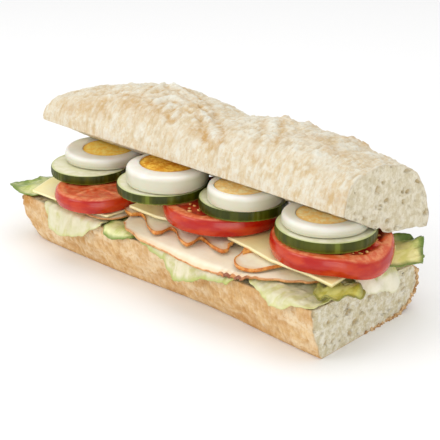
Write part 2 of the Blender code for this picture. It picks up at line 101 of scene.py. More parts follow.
def lumps(points, size, seed, octaves=3):  # smooth noise, about -1 to 1
    total = np.zeros(points.shape[:-1])
    gain = 1.0
    size = np.asarray(size, float)
    for k in range(octaves):
        q = points / size + 17.3 * (k + seed)
        i = np.floor(q).astype(np.int64)
        f = q - i
        f = f * f * (3 - 2 * f)
        value = np.zeros(total.shape)
        for dx in (0, 1):
            for dy in (0, 1):
                for dz in (0, 1):
                    w = (f[..., 0] if dx else 1 - f[..., 0]) * (f[..., 1] if dy else 1 - f[..., 1])
                    w = w * (f[..., 2] if dz else 1 - f[..., 2])
                    value += w * hashed(i[..., 0] + dx, i[..., 1] + dy, i[..., 2] + dz, seed + k)
        total += gain * (2 * value - 1)
        gain *= 0.5
        size = size * 0.5
    return total


def holes(points, size, seed, share, least=0.18, most=0.5):  # depth of scattered round holes, 0 to 1
    q = points / np.asarray(size, float)
    i = np.floor(q).astype(np.int64)
    depth = np.zeros(points.shape[:-1])
    for dx in (-1, 0, 1):
        for dy in (-1, 0, 1):
            for dz in (-1, 0, 1):
                c = (i[..., 0] + dx, i[..., 1] + dy, i[..., 2] + dz)
                here = hashed(*c, seed) < share
                middle = [c[k] + 0.15 + 0.7 * hashed(*c, seed + 3 + k) for k in range(3)]
                radius = least + (most - least) * hashed(*c, seed + 9) ** 2
                away = sum((q[..., k] - middle[k]) ** 2 for k in range(3)) / radius ** 2
                depth = np.maximum(depth, np.where(here, 1 - away, 0.0))
    return np.clip(depth, 0, 1)


def buildPiece(name, node, points, faces, traits, material, thick=0.0, weights=None):
    mesh = bpy.data.meshes.new(name)
    flat = inFrame(points).reshape(-1, 3)
    mesh.from_pydata(flat.tolist(), [], faces)
    mesh.validate()
    for trait, values in traits.items():
        layer = mesh.attributes.new(trait, "FLOAT", "POINT")
        layer.data.foreach_set("value", np.ascontiguousarray(values, dtype=np.float32).ravel())
    mesh.polygons.foreach_set("use_smooth", [True] * len(mesh.polygons))
    if not thick:  # a closed mesh, turned right side out by its volume
        mesh.calc_loop_triangles()
        tri = np.array([t.vertices[:] for t in mesh.loop_triangles])
        a, b, c = flat[tri[:, 0]], flat[tri[:, 1]], flat[tri[:, 2]]
        if np.einsum("ij,ij->i", a, np.cross(b, c)).sum() < 0:
            mesh.flip_normals()
    mesh.materials.append(material)
    piece = addObject(name, mesh)
    if thick:
        solid = piece.modifiers.new("Thickness", "SOLIDIFY")
        solid.thickness = thick * place["toMetres"]
        solid.offset = 0.0
        solid.use_even_offset = False
        if weights is not None:
            group = piece.vertex_groups.new(name="thick")
            for k, w in enumerate(np.ravel(weights).tolist()):
                group.add([k], w, "REPLACE")
            solid.vertex_group = "thick"
    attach(piece, "root")
    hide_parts(node)


def gridFaces(rows, columns, wrap, start=0):
    span = columns if wrap else columns - 1
    r, c = np.meshgrid(np.arange(rows - 1), np.arange(span), indexing="ij")
    n = (c + 1) % columns
    quads = np.stack([r * columns + c, r * columns + n, (r + 1) * columns + n, (r + 1) * columns + c], -1)
    return (quads.reshape(-1, 4) + start).tolist()


def fan(centre, ring):
    return [(centre, ring[(j + 1) % len(ring)], ring[j]) for j in range(len(ring))]


def closedTube(rows, columns):  # a grid round an axis, closed by fans to two middles after its points
    total = rows * columns
    last = [(c, b, a) for a, b, c in fan(total + 1, list(range(total - columns, total)))]
    return gridFaces(rows, columns, True) + fan(total, list(range(columns))) + last


def withMiddles(values):
    return np.concatenate([values.ravel(), [values[0].mean(), values[-1].mean()]])


# Materials, each a small builder of nodes

def rgb(r, g, b):
    return tuple(v / 3294.6 if v <= 10.31 else ((v / 255 + 0.055) / 1.055) ** 2.4 for v in (r, g, b)) + (1.0,)


class Finish:
    def __init__(self, name, roughness, gloss=0.5):
        self.mat = bpy.data.materials.new(name)
        self.mat.use_nodes = True
        self.tree = self.mat.node_tree
        self.shader = self.tree.nodes["Principled BSDF"]
        self.shader.inputs["Roughness"].default_value = roughness
        self.shader.inputs["Specular IOR Level"].default_value = gloss
        self.coords = self.tree.nodes.new("ShaderNodeTexCoord").outputs["Object"]

    def link(self, value, socket):
        if isinstance(value, (int, float, tuple)):
            socket.default_value = value
        else:
            self.tree.links.new(value, socket)

    def trait(self, name):
        node = self.tree.nodes.new("ShaderNodeAttribute")
        node.attribute_name = name
        return node.outputs["Fac"]

    def noise(self, size, detail=4.0, roughness=0.55, stretch=(1, 1, 1), turn=(0, 0, 0)):
        mapping = self.tree.nodes.new("ShaderNodeMapping")
        mapping.inputs["Scale"].default_value = stretch
        mapping.inputs["Rotation"].default_value = turn
        self.tree.links.new(self.coords, mapping.inputs["Vector"])
        node = self.tree.nodes.new("ShaderNodeTexNoise")
        node.inputs["Scale"].default_value = 1000.0 / size  # size in mm
        node.inputs["Detail"].default_value = detail
        node.inputs["Roughness"].default_value = roughness
        self.tree.links.new(mapping.outputs["Vector"], node.inputs["Vector"])
        return node.outputs["Fac"]

    def ramp(self, value, low, high, a=0.0, b=1.0):
        node = self.tree.nodes.new("ShaderNodeMapRange")
        node.interpolation_type = "SMOOTHSTEP"
        self.link(value, node.inputs["Value"])
        for name, v in (("From Min", low), ("From Max", high), ("To Min", a), ("To Max", b)):
            node.inputs[name].default_value = v
        return node.outputs["Result"]

    def maths(self, kind, a, b):
        node = self.tree.nodes.new("ShaderNodeMath")
        node.operation = kind
        self.link(a, node.inputs[0])
        self.link(b, node.inputs[1])
        return node.outputs[0]

    def times(self, a, b):
        return self.maths("MULTIPLY", a, b)

    def mix(self, share, a, b):
        node = self.tree.nodes.new("ShaderNodeMix")
        node.data_type = "RGBA"
        self.link(share, node.inputs[0])
        self.link(a, node.inputs[6])
        self.link(b, node.inputs[7])
        return node.outputs[2]

    def shade(self, value, low, high, a, b, most=1.0):  # from a towards b as value goes from low to high
        return self.mix(self.ramp(value, low, high, 0.0, most), a, b)

    def colour(self, value):
        self.link(value, self.shader.inputs["Base Color"])

    def rough(self, value):
        self.link(value, self.shader.inputs["Roughness"])

    def coat(self, weight, roughness):
        self.shader.inputs["Coat Weight"].default_value = weight
        self.shader.inputs["Coat Roughness"].default_value = roughness

    def bump(self, height, depth, strength=1.0):  # depth in mm
        node = self.tree.nodes.new("ShaderNodeBump")
        node.inputs["Distance"].default_value = depth * place["toMetres"]
        node.inputs["Strength"].default_value = strength
        self.link(height, node.inputs["Height"])
        self.link(node.outputs["Normal"], self.shader.inputs["Normal"])


def breadFinish(name, look):
    f = Finish(name, 0.85, 0.15)
    crust = f.shade(f.noise(look["patch"], 6.0, 0.68), 0.40, 0.62, look["tan"], look["pale"])
    streak = f.noise(1.5, 4.0, 0.7, (1.0, 0.16, 0.16))
    crust = f.shade(streak, 0.46, 0.62, crust, look["dark"], look["streak"])
    dust = f.noise(2.2, 6.0, 0.8, (1.0, 0.6, 0.6))
    crust = f.shade(dust, 0.44, 0.60, crust, look["white"], look["flour"])
    fleck = f.noise(1.5, 5.0, 0.75, (1.0, 0.5, 0.5))
    crust = f.shade(fleck, 0.56, 0.68, crust, look["dark"], look["fleck"])
    # Darker in the crust's creases and lighter on its ridges, following its relief: partly the crust's own
    # tan and flour, partly painted shade and painted highlight.
    crust = f.shade(f.trait("high"), 0.46, 0.12, crust, look["dark"], look["creaseTanAndShade"])
    crust = f.shade(f.trait("high"), 0.56, 0.90, crust, look["white"], 0.7)
    worn = f.times(f.trait("toast"), f.ramp(f.noise(3.2, 6.0, 0.75), 0.34, 0.58, 0.25, 1.0))
    crust = f.mix(worn, crust, look["toast"])
    powder = f.times(f.trait("flour"), f.ramp(f.noise(2.4, 5.0, 0.7), 0.36, 0.56, 0.1, 1.0))
    crust = f.mix(powder, crust, look["white"])
    soft = f.shade(f.noise(3.4, 6.0, 0.72), 0.38, 0.62, look["crumbDark"], look["crumb"])
    # Painted shade in the crumb's pores, as small dark spots and in the pits of the cut faces.
    soft = f.shade(f.noise(1.6, 4.0, 0.7), 0.55, 0.70, soft, look["poreShade"], 0.45)
    soft = f.shade(f.trait("pore"), 0.15, 0.9, soft, look["poreShade"], 0.75)
    soft = f.mix(f.times(worn, 0.9), soft, look["toast"])
    f.colour(f.mix(f.trait("crumb"), crust, soft))
    fine = f.maths("ADD", f.noise(1.3, 6.0, 0.75), f.times(streak, 1.1))
    f.bump(fine, look["grain"], 1.0)
    return f.mat


# The two halves of the loaf

loaf = {
    "right": 105.0, "left": -109.5, "rounding": -78.0, "cutFront": 27.0, "cutSlope": 0.042, "straight": 284,
    "rounded": 46, "endRings": 42,
}
lower = {  # the ends as where their rounding starts, its power and its least scale
    "crust": [(-41.3, 26.9), (-41.0, 21.5), (-38.8, 13.0), (-35.4, 4.6), (-33.6, 0.6), (-30.0, 0.0),
              (-4.0, 0.0), (18.0, 0.0), (26.0, 0.8), (33.4, 3.6), (38.6, 8.8), (40.6, 15.6), (38.8, 20.8),
              (35.6, 23.8)],
    "bow": 3.6, "belly": 3.0, "crustPoints": 190, "cutPoints": 64, "drawn": 3.2,
    "wideEnd": (-78.0, 3.3, 0.12), "deepEnd": (-90.0, 2.2, 0.40),
}
upper = {
    "crust": [(0.0, 0.0), (-0.9, 4.0), (-0.6, 9.0), (0.8, 14.0), (4.5, 18.3), (11.0, 22.3), (20.7, 25.8),
              (33.0, 28.0), (42.0, 27.7), (51.0, 24.6), (60.0, 18.6), (67.0, 10.5), (70.2, 4.2), (70.6, 0.0)],
    "hinge": (-21.0, 64.5), "tilt": math.radians(20.0), "depth": 70.6, "sag": 5.0, "middle": 33.0,
    "heights": [(-110.0, 22.0), (-95.0, 24.5), (-80.0, 27.5), (-58.0, 32.0), (-36.0, 35.0), (-12.0, 32.6),
                (11.0, 28.6), (24.0, 31.0), (38.0, 32.6), (59.0, 31.6), (73.0, 31.4), (89.0, 28.6),
                (106.0, 27.0)],
    "crustPoints": 196, "underPoints": 56, "wideEnd": (-82.0, 4.2, 0.14), "tallEnd": (-78.0, 2.7, 0.10),
}
rounds = {  # the round slices as (x, y, radius, foot, thickness)
    "tomato": [(-51.8, -25.7, 22.4, 32.2, 7.8), (18.2, -2.5, 31.6, 36.8, 8.9), (85.4, -2.8, 28.8, 36.8, 8.9)],
    "cucumber": [(-70.0, -14.5, 21.3, 40.3, 4.6), (-12.2, -16.4, 23.2, 46.0, 4.5),
                 (32.6, -5.2, 21.8, 46.0, 5.0), (83.6, -5.0, 23.6, 46.0, 5.0)],
    "egg": [(-71.1, -2.5, 22.4, 45.2, 5.8), (-9.5, -15.4, 21.0, 50.8, 9.0), (36.2, -8.0, 18.8, 51.3, 7.7),
            (82.6, -4.6, 20.6, 51.3, 5.3)],
}


def loafStations():
    right, start = loaf["right"], loaf["rounding"]
    straight = right + (start - right) * np.arange(loaf["straight"]) / loaf["straight"]
    turn = 0.5 * math.pi * np.arange(loaf["rounded"] + 1) / loaf["rounded"]
    return np.concatenate([straight, start + (loaf["left"] - start) * np.sin(turn)])


def endScale(x, start, power, least):
    t = np.clip((start - x) / (start - loaf["left"]), 0.0, 1.0)
    scale = least + (1.0 - least) * np.maximum(0.0, 1.0 - t ** power) ** (1.0 / power)
    return scale[:, None]


def cutHeight(y):
    return loaf["cutFront"] - loaf["cutSlope"] * (y + 41.0)


def normals2d(points, flip):
    step = np.gradient(points, axis=0)
    step /= np.linalg.norm(step, axis=1)[:, None] + 1e-9
    return np.stack([step[:, 1], -step[:, 0]], 1) * (-1.0 if flip else 1.0)


def torn(points, size, seed, share):  # pores with a wandering outline
    drift = np.stack([lumps(points, 2.6, seed + 50 + k, 2) for k in range(3)], -1)
    return holes(points + 1.1 * drift, size, seed, share, 0.14, 0.5)


def capEnd(sections, ringCount, seed):  # rings across the cut end, pitted like torn crumb
    outer = sections[0]
    middle = outer.mean(0)
    share = 1.0 - np.arange(1, ringCount) / ringCount
    rings = middle + (outer - middle)[None] * share[:, None, None]
    pit = torn(rings, (9, 5.2, 3.8), seed, 0.62)
    small = torn(rings, (3.4, 2.5, 2.0), seed + 20, 0.6)
    rim = smooth(0.0, 0.05, 1.0 - share)[:, None]
    depth = 0.2 + 1.5 * np.sqrt(pit) + 0.7 * small + 0.35 * lumps(rings, 2.4, seed + 5)
    depth = depth + 0.4 * lumps(rings, 8.0, seed + 6, 2)
    rings[..., 0] -= rim * np.maximum(-0.3, depth)
    pore = np.clip(np.sqrt(pit) + 0.5 * small, 0, 1) * rim
    crumb = np.repeat(smooth(0.006, 0.03, 1.0 - share)[:, None], outer.shape[0], 1)
    return rings, pore, crumb


def loftPiece(name, node, sections, traits, capSeed, material):
    rings, pore, crumb = capEnd(sections, loaf["endRings"], capSeed)
    plain = np.zeros(rings.shape[:2])
    end = {"pore": pore[::-1], "crumb": crumb[::-1], "toast": plain, "flour": plain, "high": plain + 0.5}
    body = np.concatenate([rings[::-1], sections], 0)
    points = np.vstack([body.reshape(-1, 3), rings[-1].mean(0)[None], sections[-1].mean(0)[None]])
    flat = {key: withMiddles(np.concatenate([value, traits[key]], 0)) for key, value in end.items()}
    buildPiece(name, node, points, closedTube(*body.shape[:2]), flat, material)


def lowerSections(x):
    crust = splinePoints(lower["crust"], lower["crustPoints"])
    out = normals2d(crust, False)
    bow = lower["bow"] * np.exp(-((x - 30.0) / 42.0) ** 2)[:, None]
    belly = lower["belly"] * blendPairs([(-106.0, 1.0), (-84.0, 0.0)], x)[:, None]
    up = crust[:, 1] / 27.0
    inward = bow * (1 - up) - belly * np.sin(math.pi * np.clip(up, 0, 1) ** 1.3)
    y = crust[:, 0] + np.where(crust[:, 0] < 0, inward, 0.0)
    z = np.broadcast_to(crust[:, 1], y.shape)
    p = xyz(x[:, None], y, z)
    side = np.minimum(1.0, np.minimum(z / 3.0, (27.2 - z) / 4.0))
    fine = 0.42 * lumps(p, (1.5, 4.2, 4.2), 5, 2) + 0.3 * lumps(p, 2.4, 9, 2)
    rough = 0.6 * lumps(p, 11.0, 3) + fine + 0.5 * torn(p, 4.4, 31, 0.4)
    # the crust's relief, kept for painted shade in its hollows and painted highlight on its bumps
    high = np.concatenate([np.clip(0.5 + 0.7 * fine, 0, 1), np.zeros((len(x), lower["cutPoints"])) + 0.5], 1)
    rear = smooth(8.0, 26.0, y) * smooth(18.0, 10.0, z)
    flakes = 1.9 * np.maximum(0.0, lumps(p, (4.2, 2.8, 2.8), 8, 3)) * rear * smooth(0.0, 1.0, z)
    toe = smooth(-108.0, -96.0, x)[:, None] * smooth(-78.0, -92.0, x)[:, None] * smooth(17.0, 25.0, z)
    flakes = flakes + 0.8 * np.maximum(-0.4, lumps(p, 3.6, 12, 3)) * toe
    push = rough * side * smooth(0.0, 0.6, z) + flakes
    y = y + push * out[:, 0]
    z = np.maximum(0.0, z + np.where(z > 0.3, push * out[:, 1], 0.0))
    along = (np.arange(1, lower["cutPoints"] + 1) / (lower["cutPoints"] + 1.0))[None]
    cutY = y[:, -1:] + (y[:, :1] - y[:, -1:]) * along
    q = xyz(x[:, None], cutY, 0.0)
    pit = torn(q, (4.6, 4.6, 4.6), 41, 0.7)
    rim = smooth(0.0, 2.5, np.minimum(cutY - y[:, :1], y[:, -1:] - cutY))
    cutZ = cutHeight(cutY) - rim * (0.15 + 1.3 * pit + 0.2 * (1 + lumps(q, 2.2, 44)))
    allY = np.concatenate([y, cutY], 1)
    allZ = np.concatenate([z, cutZ], 1)
    top = cutHeight(allY)
    allZ = np.maximum(0.0, top - (top - allZ) * endScale(x, *lower["deepEnd"]))
    drawn = x[:, None] + lower["drawn"] * smooth(-97.0, -109.0, x)[:, None] * smooth(14.0, 27.0, allZ)
    sections = xyz(drawn, allY * endScale(x, *lower["wideEnd"]), allZ)
    inner = smooth(0.6, 1.6, np.minimum(cutY - y[:, :1], y[:, -1:] - cutY))
    crumb = np.concatenate([0 * y, inner], 1)
    pore = np.concatenate([0 * y, pit * rim], 1)
    leftTop = smooth(-80.0, -92.0, sections[..., 0]) * smooth(16.0, 24.0, allZ)
    under = smooth(3.2, 0.6, allZ) * 0.5 + 0.7 * smooth(20.0, 32.0, allY) * smooth(16.0, 8.0, allZ)
    edge = smooth(21.5, 26.0, allZ) * 0.35
    mottle = 0.5 + 0.5 * lumps(sections, 7.0, 61)
    toast = np.clip(leftTop * (0.3 + 1.0 * mottle) + under * (0.3 + mottle) + edge * mottle, 0, 1)
    toast = np.maximum(toast, np.clip(0.9 * lumps(sections, (16.0, 9.0, 7.0), 66, 2) - 0.25, 0, 0.7))
    flour = np.clip(1.1 * lumps(sections, (12.0, 9.0, 6.0), 64, 3) + 0.1, 0, 0.9) * smooth(1.5, 5.0, allZ)
    flour = flour * (1 - toast)
    return sections, {"pore": pore, "crumb": crumb, "toast": toast, "flour": flour, "high": high}


def required(x, y):  # how high the lid's underside must be to clear the slices
    height = np.zeros(x.shape)
    for cx, cy, r, low, thick in sum(rounds.values(), []):
        away = np.hypot(x - cx, y - cy) - r - 0.8
        height = np.maximum(height, low + thick + 0.5 - 2.6 * np.maximum(0.0, away))
    return height


# Marks on the upper crust as (x, distance up the crust from its front edge)
crestLines = [  # with height and width
    ([(-28, 24.3), (-28, 28.4), (-26.6, 32.7), (-23.8, 34.3), (-19.5, 34.5), (-14.5, 34), (-8.3, 33.5)],
     1.1, 1.5),
    ([(-10.7, 20.5), (-12.1, 24.5), (-11.4, 28.1), (-8.5, 29.7), (-4.3, 30.4), (0.3, 30.2), (5.3, 28.4)],
     1.1, 1.5),
    ([(-10.5, 18.7), (-9.7, 21), (-8.1, 22.8)], 0.8, 1.2),
    ([(-38.1, 29.4), (-42.3, 38.4), (-46.4, 48.3), (-38.1, 46.5), (-30.4, 44.2), (-22.1, 42.7), (-14, 40.7),
      (-6.6, 36.8), (0, 33.2), (7.9, 27.9), (21.4, 16.1)], 1.0, 1.9),
    ([(-60.7, 21.2), (-57.8, 23), (-55.9, 25.6), (-52.3, 27.9), (-49, 30.2)], 0.8, 1.5),
    ([(36.4, 40.7), (46.9, 26.6), (50.7, 16.4)], 0.7, 2.0),
    ([(-33, 26), (-34.5, 33), (-31, 38.5), (-24, 39), (-12, 37.6)], 0.7, 1.3),
    ([(-19, 22), (-20, 27), (-17, 30.5)], 0.7, 1.2),
]
crestCrags = [(37.6, 48.8, 1.5, 2.4), (41.7, 47.1, 1.3, 2.2), (74.3, 48.3, 1.2, 2.0), (73.1, 55.5, 1.6, 2.4),
              (75.2, 57.3, 1.6, 2.2), (78.5, 59.2, 1.5, 2.4), (46.4, 56.5, 1.2, 2.2), (49.1, 56.5, 1.0, 2.0)]
tanPatches = [  # with reach along and up, and strength
    (-80.9, 10.7, 8, 4, 0.5), (-70.9, 13.8, 9, 4, 0.55), (-59, 13.3, 8, 4, 0.5), (-40.9, 18.2, 6, 4, 0.55),
    (-33.8, 18.4, 6, 4, 0.6), (-25.2, 17.4, 7, 4, 0.55), (7.9, 17.6, 6, 4, 0.45), (14.3, 17.1, 7, 4, 0.5),
    (22.2, 16.1, 7, 4, 0.4), (57.6, 35.5, 6, 5, 0.4), (66, 36.3, 8, 5, 0.45), (80, 32.3, 9, 4, 0.45),
    (95.5, 7.9, 5, 4, 0.4), (101.4, 7.4, 5, 4, 0.4),
]


def nearLine(x, run, line):
    fine = splinePoints(line, 40)
    away = np.full(x.shape, 1e9)
    for fx, fr in fine:
        away = np.minimum(away, (x - fx) ** 2 + (run - fr) ** 2)
    return np.sqrt(away)


def upperSections(x):
    crust = splinePoints(upper["crust"], upper["crustPoints"])
    out = normals2d(crust, True)
    height = (blendPairs(upper["heights"], x) / 28.0)[:, None]
    p = np.broadcast_to(crust[:, 0], (len(x), len(crust)))
    q = crust[:, 1] * height
    spot = xyz(x[:, None], p, q)
    run = np.concatenate([[0], np.cumsum(np.linalg.norm(np.diff(crust, axis=0), axis=1))])
    run = np.broadcast_to(run * 102.0 / run[-1], p.shape)
    flat = spot[..., 0]
    wander = 0.7 * lumps(spot, 4.0, 13, 2)
    ridge, crease, powder = 0 * p, 0 * p, 0 * p
    for line, high, wide in crestLines:
        away = nearLine(flat, run, line) + wander
        top = np.exp(-(away / wide) ** 2)
        gap = np.exp(-((away - 2.3 * wide) / (0.8 * wide)) ** 2)
        ridge = np.maximum(ridge, high * top)
        crease = np.maximum(crease, gap * high)
        powder = np.maximum(powder, top)
    crag = 0 * p
    for cx, cr, high, wide in crestCrags:
        crag = np.maximum(crag, high * np.exp(-((flat - cx) ** 2 + (run - cr) ** 2) / wide ** 2))
    crag = crag * (1.0 + 0.5 * lumps(spot, 2.2, 23, 2))
    swell = 0.9 * lumps(spot, 17.0, 11, 2) * smooth(1.0, 10.0, q)
    broken = smooth(14.0, 26.0, run) * smooth(74.0, 52.0, run)
    scaly = 0.75 * broken * np.abs(lumps(spot, (4.4, 3.4, 3.4), 25, 3))
    streaks = 0.5 * lumps(spot, (1.5, 6.0, 6.0), 17, 2)
    grain = 0.34 * lumps(spot, 2.3, 19, 2)
    push = swell + ridge - 0.55 * crease + scaly + streaks + grain + crag
    push = push * smooth(0.0, 3.0, q)
    pp = p + push * out[:, 0]
    qq = q + push * out[:, 1]
    k = np.arange(1, upper["underPoints"] + 1) / (upper["underPoints"] + 1.0)
    underP = np.broadcast_to(upper["depth"] * (1.0 - k), (len(x), len(k)))
    base = -upper["sag"] * np.sin(math.pi * underP / upper["depth"]) ** 2
    below = xyz(x[:, None], underP, 0.0)
    pit = torn(below, 5.0, 71, 0.7)
    rim = smooth(0.0, 2.0, np.minimum(underP, upper["depth"] - underP))
    underQ = base + rim * (1.3 * pit + 0.25 * lumps(below, 2.4, 74) + 0.5 * lumps(below, 9.0, 75))
    middle, tilt = upper["middle"], upper["tilt"]
    allP = middle + (np.concatenate([pp, underP], 1) - middle) * endScale(x, *upper["wideEnd"])
    allQ = np.concatenate([qq, underQ], 1) * endScale(x, *upper["tallEnd"])
    y = upper["hinge"][0] + allP * math.cos(tilt) + allQ * math.sin(tilt)
    z = upper["hinge"][1] - allP * math.sin(tilt) + allQ * math.cos(tilt)
    sections = xyz(x[:, None], y, z)
    first = p.shape[1] - 1
    need = required(sections[:, first:, 0], sections[:, first:, 1])
    sections[:, first:, 2] = np.maximum(sections[:, first:, 2], need)
    inner = smooth(0.6, 1.6, np.minimum(underP, upper["depth"] - underP))
    crumb = np.concatenate([0 * p, inner], 1)
    pore = np.concatenate([0 * p, pit * rim], 1)
    tan = 0 * p
    for cx, cr, wx, wr, amount in tanPatches:
        tan = np.maximum(tan, amount * np.exp(-((flat - cx) / wx) ** 2 - ((run - cr) / wr) ** 2))
    warm = np.clip(0.75 * lumps(spot, (14.0, 9.0, 9.0), 81, 3) - 0.05, 0, 1) * smooth(4.0, 16.0, q)
    split = 0.45 * crease * (1.0 + 0.8 * lumps(spot, 3.0, 27, 2))
    toast = split + 0.45 * warm + tan + 0.5 * np.clip(crag, 0, 1.2) + 0.12 * smooth(5.0, 0.0, q)
    toast = np.clip(toast, 0, 1)
    flour = np.clip(0.9 * powder + 0.8 * lumps(spot, (10.0, 14.0, 14.0), 83, 3) * broken, 0, 1)
    flour = flour * (1 - 0.8 * crease)
    zero = 0 * underP
    # the crust's relief, kept for painted shade in its hollows and painted highlight on its bumps
    high = np.clip(0.5 + 0.6 * (streaks + grain + scaly - 0.2 * broken), 0, 1)
    toast, flour, high = (np.concatenate([v, zero], 1) for v in (toast, flour, high))
    return sections, {"pore": pore, "crumb": crumb, "toast": toast, "flour": flour, "high": high}


lowerCrust = breadFinish("lowerCrust", {
    "patch": 8.0, "tan": rgb(214, 170, 112), "pale": rgb(230, 196, 144), "dark": rgb(200, 150, 92),
    "streak": 0.5, "flour": 0.42, "fleck": 0.5, "white": rgb(240, 218, 182), "toast": rgb(194, 138, 70),
    "crumb": rgb(236, 230, 212), "crumbDark": rgb(208, 196, 160), "poreShade": rgb(190, 164, 114),
    "grain": 0.7, "creaseTanAndShade": 0.6})
upperCrust = breadFinish("upperCrust", {
    "patch": 10.0, "tan": rgb(222, 202, 166), "pale": rgb(230, 219, 195), "dark": rgb(202, 174, 126),
    "streak": 0.35, "flour": 0.7, "fleck": 0.45, "white": rgb(236, 233, 219), "toast": rgb(200, 156, 90),
    "crumb": rgb(238, 230, 208), "crumbDark": rgb(216, 204, 172), "poreShade": rgb(192, 168, 120),
    "grain": 0.8, "creaseTanAndShade": 0.5})
stations = loafStations()
sections, traits = lowerSections(stations)
loftPiece("breadBottom", "bread_bottom", sections, traits, 101, lowerCrust)
lowSpots = sections.reshape(-1, 3)
x, y, z = lowSpots.T
chance = smooth(22.0, 32.0, y) * smooth(17.0, 9.0, z) * (z > 1.6)  # the rear edge
chance = chance + 0.25 * smooth(-84.0, -94.0, x) * smooth(19.0, 23.0, z) * (y < -5)  # the left corner
ends = smooth(100.0, 104.0, x) * smooth(-8.0, 12.0, y) * (z < 20.0)
flakeSpots = lowSpots[np.random.default_rng(3).random(len(lowSpots)) < 0.05 * chance + 0.6 * ends]
sections, traits = upperSections(stations)
loftPiece("breadTop", "bread_top", sections, traits, 131, upperCrust)
print("bread halves made")


# Round slices

tomato = {
    "cuts": [(5, 0.20, 0.35), (7, 0.17, 0.9), (6, 0.20, 1.0)],  # chambers, wall, how wet
    "sags": [(), (), ((104.0, 0.3), (109.0, 0.3))],  # slice 3 bends down over the cut end
    "lobe": 0.008, "rim": 1.9, "bulge": 0.5, "turns": 220, "faceSteps": 60, "sideSteps": 14, "everySeed": 60,
    "flesh": (rgb(208, 84, 38), rgb(226, 138, 90)), "gel": (rgb(150, 14, 6), rgb(190, 40, 16)),
    # the pale rim colour is a painted highlight along the rim of each cut top
    "lipHighlight": rgb(238, 170, 140), "skin": (rgb(172, 18, 2), rgb(192, 56, 14)),
}
cucumber = {
    "lobe": 0.005, "rim": 0.35, "bulge": 0.25, "turns": 240, "faceSteps": 44, "sideSteps": 14,
    "flesh": (rgb(222, 219, 184), rgb(234, 231, 210)), "core": rgb(222, 220, 174), "seed": rgb(240, 236, 208),
    "underSkin": rgb(178, 192, 92), "skin": (rgb(50, 56, 2), rgb(76, 80, 6)), "stripe": rgb(120, 132, 44),
    "foot": rgb(140, 152, 52),
}


def lobed(turn, cx, cy, lobe):
    return (1.0 + lobe * np.sin(3.0 * turn + cx) + 0.5 * lobe * np.sin(5.0 * turn + cy)) / (1.0 + 1.5 * lobe)


def roundProfile(r, thick, look):  # rows from the top's middle to the bottom's middle
    rim, faceSteps, sideSteps = look["rim"], look["faceSteps"], look["sideSteps"]
    curve = [0.5 * math.pi * k / 5 for k in range(6)]
    rows = [((r - rim) * k / faceSteps, thick, 0.0) for k in range(1, faceSteps + 1)]
    rows += [(r - rim + rim * math.sin(a), thick - rim + rim * math.cos(a), k / 5)
             for k, a in enumerate(curve) if k]
    rows += [(r + look["bulge"] * math.sin(math.pi * t), thick - rim - (thick - 2 * rim) * t, 1.0)
             for t in (k / sideSteps for k in range(1, sideSteps))]
    rows += [(r - rim + rim * math.cos(a), rim - rim * math.sin(a), 1.0) for a in curve]
    rows += [((r - rim) * (1 - k / 8.5), 0.0, 0.0) for k in range(1, 9)]
    return np.array(rows)


def discPiece(name, node, spot, look, shape, material, sags=()):
    cx, cy, r, low, thick = spot
    turns = look["turns"]
    rows = roundProfile(r, thick, look)
    turn = 2 * math.pi * np.arange(turns) / turns
    radius = rows[:, :1] * lobed(turn, cx, cy, look["lobe"])[None]
    z = np.repeat(rows[:, 1:2], turns, 1)
    side = np.repeat(rows[:, 2:3], turns, 1)
    share = radius / r
    top = np.zeros(z.shape)
    top[:look["faceSteps"]] = 1.0
    radius, z, traits = shape(radius, z, side, share, np.repeat(turn[None], len(rows), 0), top, thick)
    points = aroundAxis(radius, turn, low + z, cx, cy)
    for start, slope in sags:
        past = points[..., 0] - start
        points[..., 2] -= slope * 0.5 * (past + np.sqrt(past ** 2 + 1.5)) - slope * 0.02
    ends = np.array([[cx, cy, low + z[0].mean()], [cx, cy, low]])
    flat = {k: withMiddles(v) for k, v in traits.items()}
    buildPiece(name, node, np.vstack([points.reshape(-1, 3), ends]), closedTube(len(rows), turns), flat,
               material)
    return points, traits


def tomatoShape(seed, chambers, wall, wet):
    def shape(radius, z, side, share, turn, top, thick):
        q = aroundAxis(radius, turn, z)
        swirl = turn + 0.3 * lumps(q, 16.0, seed, 1)
        spoke = np.abs(np.sin(0.5 * chambers * swirl + seed))
        septum = smooth(0.34, 0.14, spoke * share * 1.7 + 0.08 * lumps(q, 4.0, seed + 1, 2))
        ring = smooth(1.0 - wall - 0.06, 1.0 - wall + 0.02, share + 0.035 * lumps(q, 7.0, seed + 2, 2))
        core = smooth(0.26, 0.16, share + 0.05 * np.sin(chambers * turn))
        flesh = 1.0 - wet * (1.0 - np.clip(np.maximum(np.maximum(ring, septum), core), 0, 1))
        fine = 0.10 * lumps(q, 2.4, seed + 4, 2) + 0.14 * lumps(q, 8.0, seed + 6, 1)
        z = z - top * (0.9 * (1 - flesh)) + top * fine
        # a thin pale line round the top's rim: painted highlight, on a slight raised lip in the shape
        lipHighlight = np.exp(-((share - 0.965) / 0.012) ** 2) * top
        skin = smooth(0.15, 0.6, side)
        return radius, z + 0.12 * lipHighlight, {"flesh": np.maximum(flesh, 1 - top), "skin": skin, "lipHighlight": lipHighlight}
    return shape


def tomatoFinish(look):
    f = Finish("tomatoFlesh", 0.3, 0.42)
    flesh = f.shade(f.noise(4.0, 4.0, 0.65), 0.38, 0.64, *look["flesh"])
    gel = f.shade(f.noise(3.0, 4.0), 0.4, 0.62, *look["gel"])
    inside = f.mix(f.trait("flesh"), gel, flesh)
    # painted highlight along the rim
    inside = f.mix(f.times(f.trait("lipHighlight"), 0.45), inside, look["lipHighlight"])
    skin = f.shade(f.noise(12.0, 3.0, 0.5, (1, 1, 2.5)), 0.38, 0.66, *look["skin"])
    f.colour(f.mix(f.trait("skin"), inside, skin))
    f.rough(f.ramp(f.trait("skin"), 0.0, 1.0, 0.34, 0.24))
    f.bump(f.noise(1.6, 3.0), 0.08, 0.5)
    f.coat(0.12, 0.1)
    return f.mat


